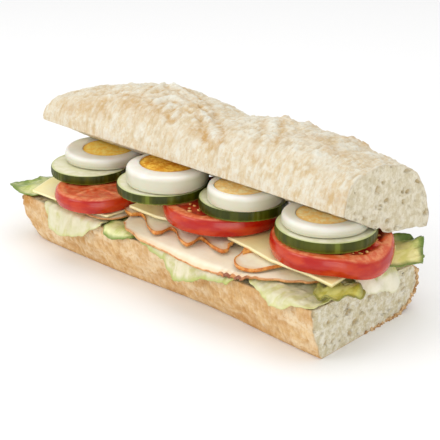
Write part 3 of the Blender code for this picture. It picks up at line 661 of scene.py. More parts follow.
def cucumberShape(seed):
    def shape(radius, z, side, share, turn, top, thick):
        q = aroundAxis(radius, turn, z)
        seedZone = smooth(0.66, 0.56, share + 0.04 * np.sin(3 * turn + seed))
        spoke = np.abs(np.sin(1.5 * turn + seed))
        seeds = holes(q * [1, 1, 0.01], (5.2, 3.6, 4.0), seed + 5, 0.7, 0.2, 0.36)
        seeds = seeds * smooth(0.2, 0.3, share) * seedZone
        z = z - top * (0.16 * seedZone * smooth(0.05, 0.25, spoke)) + top * 0.22 * np.sqrt(seeds)
        z = z + top * 0.04 * lumps(q, 1.8, seed + 1, 2)
        flutes = 0.10 * np.sin(turn * 46 + 2 * np.sin(turn * 5 + seed)) * smooth(0.9, 1.0, side)
        stripes = 0.5 + 0.5 * lumps(aroundAxis(9.0, turn, 0 * z), 1.7, seed + 8, 3)
        return radius + side * flutes, z, {
            "skin": smooth(0.1, 0.5, side), "share": np.minimum(share, 1.0), "seed": seeds * top,
            "core": seedZone * top, "low": z / thick, "turn": stripes}
    return shape


def cucumberFinish(look):
    f = Finish("cucumberFlesh", 0.4, 0.2)
    flesh = f.shade(f.noise(4.0, 4.0), 0.35, 0.7, *look["flesh"])
    flesh = f.mix(f.times(f.trait("core"), 0.5), flesh, look["core"])
    flesh = f.shade(f.trait("seed"), 0.1, 0.6, flesh, look["seed"], 0.6)
    flesh = f.shade(f.trait("share"), 0.90, 0.985, flesh, look["underSkin"], 0.6)
    skin = f.shade(f.trait("turn"), 0.25, 0.8, *look["skin"])
    skin = f.shade(f.trait("turn"), 0.76, 0.95, skin, look["stripe"], 0.5)
    skin = f.shade(f.trait("low"), 0.22, 0.0, skin, look["foot"], 0.5)
    f.colour(f.mix(f.trait("skin"), flesh, skin))
    f.bump(f.noise(1.1, 3.0), 0.08, 0.5)
    f.coat(0.07, 0.2)
    return f.mat


tomatoFlesh = tomatoFinish(tomato)
seedSpots = []
for n, (spot, cut, sags) in enumerate(zip(rounds["tomato"], tomato["cuts"], tomato["sags"]), 1):
    points, traits = discPiece(f"tomato{n}", f"tomato_{n}", spot, tomato, tomatoShape(3 + 4 * n, *cut),
                               tomatoFlesh, sags)
    wet = points[(traits["flesh"] < 0.35)]
    seedSpots.append(wet[np.random.default_rng(n).permutation(len(wet))[:len(wet) // tomato["everySeed"]]])
cucumberFlesh = cucumberFinish(cucumber)
for n, spot in enumerate(rounds["cucumber"], 1):
    discPiece(f"cucumber{n}", f"cucumber_{n}", spot, cucumber, cucumberShape(5 + 3 * n), cucumberFlesh)
print("tomato and cucumber made")


# Egg slices, a ring of white round each yolk

egg = {
    "turns": 180, "rim": 2.3, "foot": 1.2, "lobe": 0.01, "white": (rgb(230, 227, 216), rgb(238, 236, 230)),
    # the side colour, greyer and greener down the white's side, is painted shade with a painted greenish
    # reflection from the cucumber below
    "side": rgb(194, 191, 163),
}
yolk = {
    "spots": [(-69.6, -1.6, 14.0), (-11.0, -12.3, 15.2), (35.9, -10.4, 13.2), (83.2, -6.7, 13.0)],
    "gap": 0.15, "lower": 0.1, "lobe": 0.004, "rim": 0.3, "bulge": 0.0, "turns": 120, "faceSteps": 36,
    "sideSteps": 6,
    # Yolks 1, 3 and 4 take brightened copies of the yolk colours: painted light against the lid's shade over
    # them. Yolk 2 keeps the deeper tones.
    "yolkPaintedLit": (rgb(254, 206, 80), rgb(255, 230, 132), rgb(248, 188, 70)),  # deep, light and edge
    "yolkDeep": (rgb(216, 140, 14), rgb(250, 206, 84), rgb(206, 150, 36)),
    "yolkPalePaintedLit": (rgb(255, 212, 128), rgb(255, 238, 184), rgb(244, 194, 104)),
    "looks": ["yolkPaintedLit", "yolkDeep", "yolkPalePaintedLit", "yolkPalePaintedLit"],
}


def whiteRows(thick):  # share of the way out, step past the edge, height, how far down the side
    rim, foot = egg["rim"], egg["foot"]
    rows = [(0.0, 0.0, 0.3, 0.0), (0.0, 0.0, thick * 0.5, 0.0)]
    rows += [(0.0, 0.0, thick - 0.35, 0.0), (0.02, -rim, thick - 0.08, 0.0)]
    rows += [(k / 12.0, -rim, thick + 0.12 * math.sin(math.pi * k / 12.0), 0.0) for k in range(1, 12)]
    rows += [(1.0, -rim + rim * math.sin(a), thick - rim + rim * math.cos(a), 0.5 * a)
             for a in np.linspace(0.06, 0.5 * math.pi, 10)]
    rows += [(1.0, 0.25 * math.sin(math.pi * t), (thick - rim) * (1 - t) + foot * t, 1.0)
             for t in np.linspace(0.1, 1.0, 9)]
    rows += [(1.0, -foot + foot * math.cos(a), foot - foot * math.sin(a), 1.0)
             for a in np.linspace(0.2, 0.5 * math.pi, 6)]
    rows += [(1.0 - k / 6.0, -foot, 0.0, 1.0) for k in range(1, 6)]
    return rows + [(0.0, 0.0, 0.0, 0.0)]


def eggWhitePiece(n, spot, hole, material):
    cx, cy, r, low, thick = spot
    yx, yy, yr = hole
    turns = egg["turns"]
    turn = 2 * math.pi * np.arange(turns) / turns
    angle = turn.copy()
    for _ in range(13):  # the outline, measured from the yolk's middle, so that one grid runs round the hole
        edge = r * lobed(angle, cx, cy, egg["lobe"])
        ex, ey = cx + edge * np.cos(angle) - yx, cy + edge * np.sin(angle) - yy
        angle += (turn - np.arctan2(ey, ex) + math.pi) % (2 * math.pi) - math.pi
    outer = np.hypot(ex, ey)
    inside = yr + 0.02 * np.sin(5 * turn + n)
    points, depth = [], []
    for share, add, z, side in whiteRows(thick):
        radius = inside + (outer + add - inside) * share
        wave = 0.10 * lumps(aroundAxis(radius, turn, z), 7.0, 200 + n, 2) * smooth(0.0, 0.1, share)
        points.append(aroundAxis(radius, turn, low + z + wave * (z > 1.5), yx, yy))
        depth.append(np.full(turns, side))
    faces = gridFaces(len(points), turns, True)
    end = (len(points) - 1) * turns
    faces += [(end + c, end + (c + 1) % turns, (c + 1) % turns, c) for c in range(turns)]
    buildPiece(f"eggWhite{n}", f"egg_white_{n}", np.stack(points), faces, {"side": np.stack(depth)}, material)


def yolkShape(seed):
    def shape(radius, z, side, share, turn, top, thick):
        q = aroundAxis(radius, turn, z)
        z = z + top * (0.18 * lumps(q, 2.6, seed, 3) + 0.25 * (1 - share ** 2) - 0.12)
        pit = holes(q * [1, 1, 0.01], 2.4, seed + 4, 0.5) * top * smooth(0.95, 0.8, share)
        return radius, z - 0.35 * pit, {"share": np.minimum(share, 1.0), "pit": pit}
    return shape


def whiteFinish(look):
    f = Finish("eggWhite", 0.3, 0.5)
    white = f.shade(f.noise(11.0, 3.0), 0.35, 0.7, *look["white"])
    # the side takes painted shade and a painted greenish reflection
    f.colour(f.shade(f.trait("side"), 0.2, 1.0, white, look["side"], 0.8))
    f.bump(f.noise(2.2, 3.0), 0.06, 0.4)
    f.shader.inputs["Subsurface Weight"].default_value = 0.2
    f.shader.inputs["Subsurface Scale"].default_value = 0.003
    f.coat(0.2, 0.2)
    return f.mat


def yolkFinish(name, deep, light, edge):
    f = Finish(name, 0.6, 0.3)
    tone = f.shade(f.noise(3.2, 6.0, 0.75), 0.40, 0.60, deep, light)
    tone = f.shade(f.trait("share"), 0.86, 1.0, tone, edge, 0.7)
    # the pits take the yolk's deeper tone: painted shade in the cracks
    f.colour(f.shade(f.trait("pit"), 0.1, 0.8, tone, deep, 0.6))
    f.bump(f.noise(1.0, 5.0, 0.75), 0.35, 1.0)
    return f.mat


eggWhite = whiteFinish(egg)
yolkLooks = {name: yolkFinish(name, *yolk[name]) for name in ("yolkPaintedLit", "yolkDeep", "yolkPalePaintedLit")}
for n, (spot, hole) in enumerate(zip(rounds["egg"], yolk["spots"]), 1):
    eggWhitePiece(n, spot, hole, eggWhite)
    inner = (hole[0], hole[1], hole[2] - yolk["gap"], spot[3], spot[4] - yolk["lower"])
    look = yolkLooks[yolk["looks"][n - 1]]
    discPiece(f"eggYolk{n}", f"egg_yolk_{n}", inner, yolk, yolkShape(300 + n), look)
print("egg slices made")


# Layers that turn down over the front edge

bend = {"y": -40.5, "z": 25.5, "length": 3.0}


def lay(x, s, z, turn):  # s runs forwards, and past the edge it turns down by up to turn
    d = z - bend["z"]
    past = np.maximum(0.0, s + bend["y"])
    angle = np.minimum(past / bend["length"], turn)
    extra = past - bend["length"] * angle
    y = np.where(past <= 0, -s, bend["y"] - d * np.sin(angle) - extra * np.cos(angle))
    high = np.where(past <= 0, z, bend["z"] + d * np.cos(angle) - extra * np.sin(angle))
    return xyz(x, y, high)


def perlin(x, y, z):
    spots = zip(x.ravel(), y.ravel(), np.broadcast_to(z, x.shape).ravel())
    return np.array([noise.noise(Vector(v)) for v in spots]).reshape(x.shape)


def apronPoints(front, rear, height, turn, columns, rows, ragged, seed):
    t = np.linspace(0.0, 1.0, columns)
    left, right = front[0][0], front[-1][0]
    x = left + (right - left) * t
    nib = xyz(x, 0.0, 0.0)
    ahead = blendPairs(front, x) + ragged * lumps(nib, 3.2, seed, 2)
    back = blendPairs(rear, x) + ragged * lumps(nib, 3.6, seed + 4, 2)
    f = np.linspace(0.0, 1.0, rows)
    s = back[:, None] + (ahead - back)[:, None] * f[None]
    edge = np.abs(2.0 * t - 1.0)[:, None] ** 4 * np.ones_like(s)
    across = x[:, None] * np.ones_like(s)
    side = np.sign(t - 0.5)[:, None] * np.abs(2.0 * t - 1.0)[:, None] ** 4
    tear = side * ragged * lumps(xyz(0.0, s, seed), 3.4, seed + 9, 2)
    across = across + 1.6 * edge * perlin(s / 6.0, across / 9.0, 3.0) + tear
    rim = np.minimum(np.minimum(t, 1 - t)[:, None] * (right - left),
                     np.minimum(f, 1 - f)[None] * (ahead - back)[:, None])
    return lay(across, s, height(across, s, edge, rim), turn), rim, across, s


def polarPoints(outline, height, turn, segments, rings, ragged, seed):
    edge = splinePoints(outline, segments, True)
    middle = edge.mean(0)
    spoke = edge - middle
    reach = np.linalg.norm(spoke, axis=1)
    spoke = spoke * (1.0 + ragged * lumps(xyz(edge[:, 0], edge[:, 1], 0.0), 3.4, seed, 2) / reach)[:, None]
    share = np.arange(1, rings + 1) / rings
    flat = middle + spoke[None] * share[:, None, None]
    x, s = flat[..., 0], flat[..., 1]
    rim = (1.0 - share)[:, None] * reach[None]
    grid = lay(x, s, height(x, s, share[:, None] * np.ones_like(x), rim), turn)
    high = np.atleast_1d(height(middle[:1], middle[1:], np.zeros(1), np.full(1, 20.0)))
    points = np.vstack([grid.reshape(-1, 3), lay(middle[:1], middle[1:], high, turn)])
    faces = gridFaces(rings, segments, True) + fan(rings * segments, list(range(segments)))
    return points, faces, np.concatenate([rim.ravel(), [reach.mean()]])


# Lettuce

leafColours = {
    "leafPale": {"pale": rgb(210, 205, 168), "mid": rgb(196, 192, 132), "rib": rgb(220, 215, 188),
                 "edge": rgb(196, 198, 110), "deep": rgb(176, 186, 84), "edgeWide": 2.6, "edgeShare": 0.5},
    "leafMid": {"pale": rgb(218, 210, 180), "mid": rgb(196, 192, 132), "rib": rgb(228, 220, 194),
                "edge": rgb(164, 178, 64), "deep": rgb(150, 164, 50), "edgeWide": 3.5, "edgeShare": 0.7},
    "leafEdged": {"pale": rgb(216, 216, 150), "mid": rgb(188, 196, 104), "rib": rgb(226, 224, 172),
                  "edge": rgb(104, 130, 24), "deep": rgb(120, 144, 34), "edgeWide": 2.6, "edgeShare": 0.9},
    "leafGreen": {"pale": rgb(236, 226, 150), "mid": rgb(216, 210, 116), "rib": rgb(238, 230, 162),
                  "edge": rgb(84, 112, 14), "deep": rgb(116, 148, 30), "edgeWide": 3.4, "edgeShare": 0.9},
    "leafOlive": {"pale": rgb(196, 190, 92), "mid": rgb(160, 156, 52), "rib": rgb(218, 212, 138),
                  "edge": rgb(104, 102, 18), "deep": rgb(120, 120, 24), "edgeWide": 3.0, "edgeShare": 0.75},
    "leafCream": {"pale": rgb(232, 226, 202), "mid": rgb(222, 216, 184), "rib": rgb(240, 234, 216),
                  "edge": rgb(206, 204, 150), "deep": rgb(186, 182, 84), "edgeWide": 2.0, "edgeShare": 0.5},
}


def leafFinish(name, look):
    f = Finish(name, 0.36, 0.5)
    body = f.shade(f.noise(8.0, 5.0, 0.65), 0.38, 0.62, look["pale"], look["mid"])
    vein = f.ramp(f.noise(4.0, 3.0, 0.5, (1.0, 0.25, 0.25)), 0.47, 0.56)
    body = f.mix(f.times(vein, 0.55), body, look["rib"])
    green = f.times(f.trait("green"), f.ramp(f.noise(4.0, 4.0), 0.35, 0.6, 0.5, 1.0))
    body = f.mix(green, body, look["deep"])
    edge = f.maths("ADD", f.trait("rim"), f.times(f.noise(5.0, 3.0), -2.4))
    f.colour(f.shade(edge, look["edgeWide"] - 1.2, -1.1, body, look["edge"], look["edgeShare"]))
    f.bump(f.noise(1.8, 4.0, 0.6, (1.0, 0.5, 0.5)), 0.25, 0.8)
    f.coat(0.15, 0.2)
    return f.mat


def leafHeight(top, seed, step, crinkle=0.22):
    def height(x, s, share, rim):
        low = cutHeight(-np.minimum(s, 41.0)) + 0.75
        lift = blendPairs([(-38.0, 1.0), (-28.5, 0.0)], s)  # stands up in the rear gap
        wave = 0.5 + 0.85 * perlin(x / step, s / step, seed) + 0.25 * share * np.sin(x / 2.6 + s / 3.4 + seed)
        wave = wave + 0.2 * lift
        spot = xyz(x, s, 0.0)
        wave = wave + crinkle * lumps(spot, 3.4, int(seed * 10), 2)
        free = smooth(41.0, 47.0, s)  # hangs over the crust
        drift = 1.1 * lumps(spot, (9.0, 14.0, 9.0), int(seed * 5) + 2, 2)
        frill = 0.55 * free * lumps(spot, 4.5, int(seed * 7) + 1, 2) * smooth(9.0, 0.0, rim)
        frill = frill + 0.8 * free * (np.abs(np.sin(0.42 * x + seed + drift)) - 0.35)
        return low + (top + 7.0 * lift - low) * np.clip(wave, 0.0, 1.0) + np.maximum(-0.6, frill)
    return height


def curlHeight(x, s, share, rim):
    curl = 1.3 * smooth(5.0, 0.0, rim) * np.sin(0.75 * x - 0.3 * s)
    ripple = 0.9 * np.sin((x + s) / 3.2)
    return 31.0 + ripple + 0.05 * (s - 22.0) + 0.3 * np.sin(x * 1.3 - s * 0.7) * share + curl


def fringeHeight(x, s, share, rim):
    inward = 0.466 * (-s - 12.5) - 0.885 * (x - 108.6)
    frill = blendPairs([(-37.0, 1.0), (-28.0, 0.0)], s) * (1.4 + 1.7 * np.sin(x / 2.3 + s / 5.0))
    fine = 1.5 * np.sin(x * 1.1 + s * 0.8) * smooth(6.0, 0.0, rim) * smooth(-20.0, -32.0, s)
    return 31.0 + np.clip(0.3 * inward, 0.0, 2.9) + frill + fine


leaf = {"thick": 0.45, "rows": 130, "columnsPerMm": 1.9, "ragged": 0.7}
hanging = {  # front and rear edges as (x, distance forwards)
    1: {"front": [(-76, 42.5), (-72, 47), (-69, 54), (-60.5, 56), (-51.5, 54), (-44, 52), (-37, 46.6),
                  (-32, 42.5)],
        "rear": [(-76, -20), (-69, -37), (-56, -45), (-43, -40), (-32, -20)],
        "top": 29.0, "seed": 1.3, "step": 11.0, "turn": 1.35, "look": "leafPale"},
    2: {"front": [(-30, 42.5), (-28, 46), (-20.5, 46.8), (-14, 44.5), (-9, 42.5)],
        "rear": [(-30, -22), (-25, -39), (-14, -43), (-9, -24)],
        "top": 28.9, "seed": 4.1, "step": 8.0, "turn": 1.2, "look": "leafEdged"},
    3: {"front": [(-6, 38), (0, 42.6), (8, 44.4), (15.5, 46.2), (20, 51), (26, 53.5), (35, 51.6), (43, 48.2),
                  (51, 46.4), (58, 45.5), (63, 41)],
        "rear": [(-6, -22), (1, -38), (16, -45), (32, -40), (48, -46), (57, -39), (63, -24)],
        "top": 29.5, "seed": 6.2, "step": 9.0, "turn": 1.35, "look": "leafMid"},
    4: {"front": [(65, 38), (70, 41), (78.5, 44.6), (84, 47.6), (89, 47.2), (96, 44.2), (101, 42.4),
                  (105, 40), (107, 34)],
        "rear": [(65, -24), (70, -39), (77, -43), (84, -26), (95, -22), (99, -4), (104, 20), (107, 26)],
        "top": 29.5, "seed": 9.7, "step": 10.0, "turn": 1.2, "look": "leafPale"},
}
tips = {  # outlines as (x, distance forwards), and where the leaf turns green as (axis, from, to)
    5: {"outline": [(98, 30), (103, 36), (110, 35), (114, 28), (115, 18), (110, 12), (103, 16), (98, 22)],
        "height": curlHeight, "turn": 1.2, "ragged": 1.7, "look": "leafOlive", "green": (0, -98.0, -106.0)},
    6: {"outline": [(-113, 36), (-108, 40), (-98, 40.5), (-90, 39), (-84, 33), (-83, 22), (-86, 6), (-95, -8),
                    (-103, -6), (-107, 8), (-108, 22), (-112, 30)],
        "height": leafHeight(29.0, 12.4, 7.0), "turn": 1.0, "ragged": 1.3, "look": "leafEdged",
        "green": (0, -98.0, -106.0)},
    7: {"outline": [(108.6, -12.5), (111, -16), (113.2, -21.5), (115.7, -26), (114.6, -30), (110.5, -34.6),
                    (107, -38.5), (102.5, -42), (98.5, -40), (94, -35), (89, -34), (87.5, -29.5), (92, -22),
                    (100, -14), (105, -11.5)],
        "height": fringeHeight, "turn": 1.2, "ragged": 1.3, "look": "leafGreen", "green": (1, 29.0, 37.0)},
}
tipGrid = {"segments": 190, "rings": 44, "thick": 0.5, "seed": 508}
flap = {  # lettuce 8: how far down it reaches along y, and its path as (x, z)
    "drops": [(-7.0, 0.62), (-2.0, 0.74), (3.0, 0.8), (8.0, 0.84), (13.0, 0.92), (18.0, 1.0), (21.5, 0.86)],
    "path": [(92.5, 31.8), (97.0, 31.4), (102.0, 30.1), (105.0, 27.9), (106.9, 24.5), (107.5, 20.0),
             (107.3, 15.5)],
    "from": -7.0, "to": 21.5, "rows": 110, "columns": 90, "steps": 200, "look": "leafCream",
}
leafLooks = {name: leafFinish(name, look) for name, look in leafColours.items()}
for n, v in hanging.items():
    columns = max(60, int((v["front"][-1][0] - v["front"][0][0]) * leaf["columnsPerMm"]))
    grid, rim, _, _ = apronPoints(v["front"], v["rear"], leafHeight(v["top"], v["seed"], v["step"]),
                                  v["turn"], columns, leaf["rows"], leaf["ragged"], 400 + n)
    buildPiece(f"lettuce{n}", f"lettuce_{n}", grid, gridFaces(columns, leaf["rows"], False), {"rim": rim},
               leafLooks[v["look"]], leaf["thick"])


def flapPiece(v):
    line = splinePoints(v["path"], v["steps"])
    last = v["steps"] - 1.0
    y = np.linspace(v["from"], v["to"], v["rows"])[:, None]
    reach = blendPairs(v["drops"], y) + 0.02 * lumps(xyz(0.0, y, 0.0), 2.6, 77, 2)
    at = np.clip(reach * np.linspace(0, 1, v["columns"])[None], 0, 1) * last
    x, z = (np.interp(at, np.arange(v["steps"]), line[:, k]) for k in (0, 1))
    wave = 0.45 * np.sin(y / 1.9 + 0.25 * z) * smooth(0.0, 0.6, at / last)
    rim = np.minimum(np.minimum(y - v["from"], v["to"] - y) + 0 * at, (reach * last - at) * 0.16)
    crease = 0.8 * np.exp(-((at / last - 0.55) / 0.05) ** 2) * (y > 4)
    buildPiece("lettuce8", "lettuce_8", xyz(x + wave, y + 0.8 * np.sin(z / 2.5), z + 0.5 * wave),
               gridFaces(v["rows"], v["columns"], False), {"rim": rim, "green": crease},
               leafLooks[v["look"]], leaf["thick"])


flapPiece(flap)
for n, v in tips.items():
    points, faces, rim = polarPoints(v["outline"], v["height"], v["turn"], tipGrid["segments"],
                                     tipGrid["rings"], v["ragged"], tipGrid["seed"])
    axis, start, end = v["green"]
    deep = smooth(start, end, points[:, axis])
    buildPiece(f"lettuce{n}", f"lettuce_{n}", points, faces, {"rim": rim, "green": deep},
               leafLooks[v["look"]], tipGrid["thick"])
print("lettuce made")


# Ham

def hamFinish(name, wide, rindDeep, rindLight):
    f = Finish(name, 0.4, 0.5)
    meat = f.shade(f.noise(12.0, 5.0, 0.6), 0.36, 0.66, rgb(244, 237, 213), rgb(239, 227, 199))
    meat = f.shade(f.noise(3.0, 4.0, 0.6, (0.35, 1.0, 1.0)), 0.5, 0.75, meat, rgb(242, 236, 222), 0.35)
    wobble = f.maths("ADD", f.trait("rim"), f.times(f.noise(4.0, 3.0), -0.5 * wide))
    warm = f.shade(wobble, 4.0 * wide, wide, meat, rgb(226, 176, 118), 0.5)
    rind = f.shade(f.noise(3.0, 5.0, 0.7), 0.40, 0.60, rindDeep, rindLight)
    brown = f.times(f.trait("brown"), f.ramp(f.noise(3.0, 4.0), 0.40, 0.55))
    rind = f.mix(brown, rind, rgb(128, 58, 26))
    f.colour(f.shade(wobble, wide, 0.4 * wide, warm, rind))
    f.bump(f.noise(1.4, 4.0, 0.6), 0.12, 0.6)
    f.coat(0.25, 0.2)
    return f.mat


def flatHeight(level, droop):
    def height(x, s, share, rim):
        fine = 0.06 * lumps(xyz(x, s, 0.0), 5.0, int(level), 2)
        return level + droop * perlin(x / 14.0, s / 14.0, level) + fine
    return height


def ruffledHeight(x, s, share, rim):
    return 33.0 + 0.5 * np.sin(x / 3.4 + 0.6) * smooth(14.0, 0.0, rim)


def foldHeight(level):
    def height(x, s, share, rim):
        return level + 0.35 * np.sin(x / 2.2) * smooth(8.0, 0.0, rim)
    return height


def rimWeights(rim, inside, wide):  # thicker towards the browned rim
    return inside + (1.0 - inside) * smooth(wide, 0.15 * wide, rim)


ham1 = {
    "outline": [(-72, 28), (-66, 36), (-58, 38.5), (-50, 39.5), (-40, 40), (-33, 38), (-28, 31), (-28, 20),
                (-33, 6), (-46, -4), (-62, 2), (-71, 14)],
    "level": 29.9, "droop": 0.15, "turn": 1.0, "segments": 170, "rings": 40, "ragged": 0.1, "thick": 0.7,
}
ham2 = {  # the large slice, browned along part of its rim
    "front": [(-25, 28), (-21, 36), (-13, 40.8), (1, 42.7), (14, 43), (29, 43.6), (39, 43.9), (51, 43.4),
              (64.5, 42.3), (72, 38.5), (80, 33), (90, 27), (95, 20)],
    "rear": [(-25, 20), (-20, 4), (-8, -14), (16, -25), (46, -25), (70, -16), (86, 0), (95, 12)],
    "level": 30.7, "droop": 0.2, "turn": 1.1, "columns": 200, "rows": 110, "ragged": 0.15, "thick": 1.0,
}
ham3 = {  # the slice with the wavy rim, whose wave leans over to the right
    "wave": [(-24.5, 23), (-21.5, 29), (-17, 30.5), (-14.5, 28.6), (-11.3, 26), (-7.5, 28), (-3.1, 34.3),
             (3.1, 38.7), (7.5, 35.5), (10.7, 28.5), (15, 29), (19.5, 35), (25.4, 38.3), (28.5, 34),
             (30.8, 27.4), (35, 27.6), (40, 30.5), (46.7, 32.4), (49.5, 27)],
    "rear": [(-24.5, 20), (-20, 8), (-13, 0), (4, -12), (32, -12), (44, 2), (49.5, 22)],
    "steps": 300, "columns": 320, "rows": 120, "lean": 0.6, "leanFrom": 38.0, "thick": 1.9,
}
ham4 = {  # the folded slice, as its lower and upper layer
    "layers": [
        {"path": [(49.5, 22), (51, 29), (55.0, 36.4), (59.9, 39.7), (64.8, 38.3), (68.6, 35.8), (71.2, 31.2),
                  (74, 25), (80, 12), (84, 6)], "steps": 200, "level": 33.0, "rear": 6.0, "browned": 1.0},
        {"path": [(49.5, 18), (50.2, 23.5), (52.4, 27.6), (54.2, 23.4), (57.5, 22.8), (61, 24.6), (66, 21),
                  (74, 12)], "steps": 160, "level": 34.3, "rear": 4.0, "browned": 0.3},
    ],
    "columns": 150, "rows": 70, "thick": 1.7,
}
hamPlain = hamFinish("hamPlain", 0.45, rgb(196, 124, 62), rgb(218, 164, 104))
hamBrowned = hamFinish("hamBrowned", 1.3, rgb(202, 110, 28), rgb(232, 166, 84))
points, faces, rim = polarPoints(ham1["outline"], flatHeight(ham1["level"], ham1["droop"]), ham1["turn"],
                                 ham1["segments"], ham1["rings"], ham1["ragged"], 611)
buildPiece("ham1", "ham_1", points, faces, {"rim": rim}, hamPlain, ham1["thick"])
grid, rim, across, _ = apronPoints(ham2["front"], ham2["rear"], flatHeight(ham2["level"], ham2["droop"]),
                                   ham2["turn"], ham2["columns"], ham2["rows"], ham2["ragged"], 622)
brown = smooth(50.0, 55.0, across) * smooth(76.0, 64.0, across)
grid[..., 2] += 0.5 * brown * np.sin(1.9 * across) * smooth(4.0, 0.0, rim)
buildPiece("ham2", "ham_2", grid, gridFaces(ham2["columns"], ham2["rows"], False),
           {"rim": rim - 0.5 * brown, "brown": 0.9 * brown}, hamPlain, ham2["thick"])
grid, rim, _, s = apronPoints(splinePoints(ham3["wave"], ham3["steps"]).tolist(), ham3["rear"],
                              ruffledHeight, 0.0, ham3["columns"], ham3["rows"], 0.0, 633)
grid[..., 0] += ham3["lean"] * (np.maximum(s, 24.0) - ham3["leanFrom"])
buildPiece("ham3", "ham_3", grid, gridFaces(ham3["columns"], ham3["rows"], False), {"rim": rim}, hamBrowned,
           ham3["thick"], rimWeights(rim, 0.42, 1.6))
points, rims, faces = [], [], []
for layer in ham4["layers"]:
    path = splinePoints(layer["path"], layer["steps"]).tolist()
    rear = [(path[0][0], layer["rear"]), (path[-1][0], layer["rear"] - 1.0)]
    grid, rim, _, _ = apronPoints(path, rear, foldHeight(layer["level"]), 0.0, ham4["columns"], ham4["rows"],
                                  0.0, 641)
    faces += gridFaces(ham4["columns"], ham4["rows"], False, len(points) * ham4["columns"] * ham4["rows"])
    points.append(grid.reshape(-1, 3))
    rims.append(rim.ravel() * layer["browned"])
rim = np.concatenate(rims)
buildPiece("ham4", "ham_4", np.vstack(points), faces, {"rim": rim}, hamBrowned, ham4["thick"],
           rimWeights(rim, 0.42, 1.5))
print("ham made")


# Cheese

cheese = {  # corners as (x, distance forwards), and the corner that hangs down
    1: {"corners": [(-96, 22), (-89, 40), (-50, 40), (-32, 37), (-30, 4), (-92, 3)],
        "level": 31.3, "hangs": (-90, 41), "droop": 0.2, "thick": 1.1},
    2: {"corners": [(-26, 27), (-6, 27.5), (24, 20), (22, -16), (-22, -14)],
        "level": 35.5, "hangs": (-26, 27), "droop": 0.0, "thick": 1.5},
    3: {"corners": [(37.5, 22), (52, 24), (70, 27.8), (105, 27.5), (104.4, -8), (102.5, -24), (88, -27),
                    (40, -18)],
        "level": 35.5, "hangs": (107, 28), "droop": 1.6, "thick": 1.5},
}
cheeseGrid = {"step": 2.0, "turn": 0.7, "segments": 220, "rings": 40, "ragged": 0.03, "seed": 700}


def cheeseFinish():
    f = Finish("cheeseSlice", 0.4, 0.45)
    tone = f.shade(f.noise(18.0, 3.0), 0.35, 0.7, rgb(248, 233, 162), rgb(251, 241, 186))
    f.colour(f.shade(f.trait("rim"), 1.2, 0.2, tone, rgb(246, 236, 204), 0.35))
    f.bump(f.noise(2.0, 3.0), 0.06, 0.4)
    return f.mat


def cornerHeight(level, corner, droop):
    def height(x, s, share, rim):
        return level - droop * np.maximum(0.0, 1.0 - np.hypot(x - corner[0], s - corner[1]) / 16.0)
    return height


def straightSides(points, step):
    result = []
    for a, b in zip(points, points[1:] + points[:1]):
        a, b = np.array(a, float), np.array(b, float)
        count = max(1, round(float(np.linalg.norm(b - a)) / step))
        result += [tuple(a + (b - a) * k / count) for k in range(count)]
    return result


cheeseSlice = cheeseFinish()
for n, v in cheese.items():
    points, faces, rim = polarPoints(
        straightSides(v["corners"], cheeseGrid["step"]), cornerHeight(v["level"], v["hangs"], v["droop"]),
        cheeseGrid["turn"], cheeseGrid["segments"], cheeseGrid["rings"], cheeseGrid["ragged"],
        cheeseGrid["seed"])
    buildPiece(f"cheese{n}", f"cheese_{n}", points, faces, {"rim": rim}, cheeseSlice, v["thick"])
print("cheese made")


# Seeds in the wet chambers and flakes on the crust, scattered by one tree of Geometry Nodes

seeds = {"Smallest": 0.0009, "Largest": 0.0014, "Shape": (1.0, 0.6, 0.35), "Turn": (0.5, 0.5, 6.28),
         "Seed": 4}
flakes = {"Smallest": 0.0006, "Largest": 0.0018, "Shape": (1.0, 0.7, 0.45), "Turn": (6.28, 6.28, 6.28),
          "Seed": 9}


def scatterTree():
    tree = bpy.data.node_groups.new("scatter", "GeometryNodeTree")
    sockets = {"Points": "NodeSocketGeometry", "Smallest": "NodeSocketFloat", "Largest": "NodeSocketFloat",
               "Shape": "NodeSocketVector", "Turn": "NodeSocketVector", "Seed": "NodeSocketInt",
               "Look": "NodeSocketMaterial"}
    made = {name: tree.interface.new_socket(name, in_out="INPUT", socket_type=kind)
            for name, kind in sockets.items()}
    tree.interface.new_socket("Geometry", in_out="OUTPUT", socket_type="NodeSocketGeometry")
    given, result, grain, shaped, turned, sized, placed, real, painted = (tree.nodes.new(kind) for kind in (
        "NodeGroupInput", "NodeGroupOutput", "GeometryNodeMeshIcoSphere", "GeometryNodeTransform",
        "FunctionNodeRandomValue", "FunctionNodeRandomValue", "GeometryNodeInstanceOnPoints",
        "GeometryNodeRealizeInstances", "GeometryNodeSetMaterial"))
    grain.inputs["Subdivisions"].default_value = 2
    turned.data_type, sized.data_type = "FLOAT_VECTOR", "FLOAT"
    for source, output, goal, entry in (
            (grain, "Mesh", shaped, "Geometry"), (given, "Shape", shaped, "Scale"),
            (given, "Turn", turned, "Max"), (given, "Seed", turned, "Seed"),
            (given, "Smallest", sized, 2), (given, "Largest", sized, 3), (given, "Seed", sized, "Seed"),
            (given, "Points", placed, "Points"), (shaped, "Geometry", placed, "Instance"),
            (turned, "Value", placed, "Rotation"), (sized, 1, placed, "Scale"),
            (placed, "Instances", real, "Geometry"), (real, "Geometry", painted, "Geometry"),
            (given, "Look", painted, "Material"), (painted, "Geometry", result, "Geometry")):
        tree.links.new(source.outputs[output], goal.inputs[entry])
    return tree, {name: socket.identifier for name, socket in made.items()}


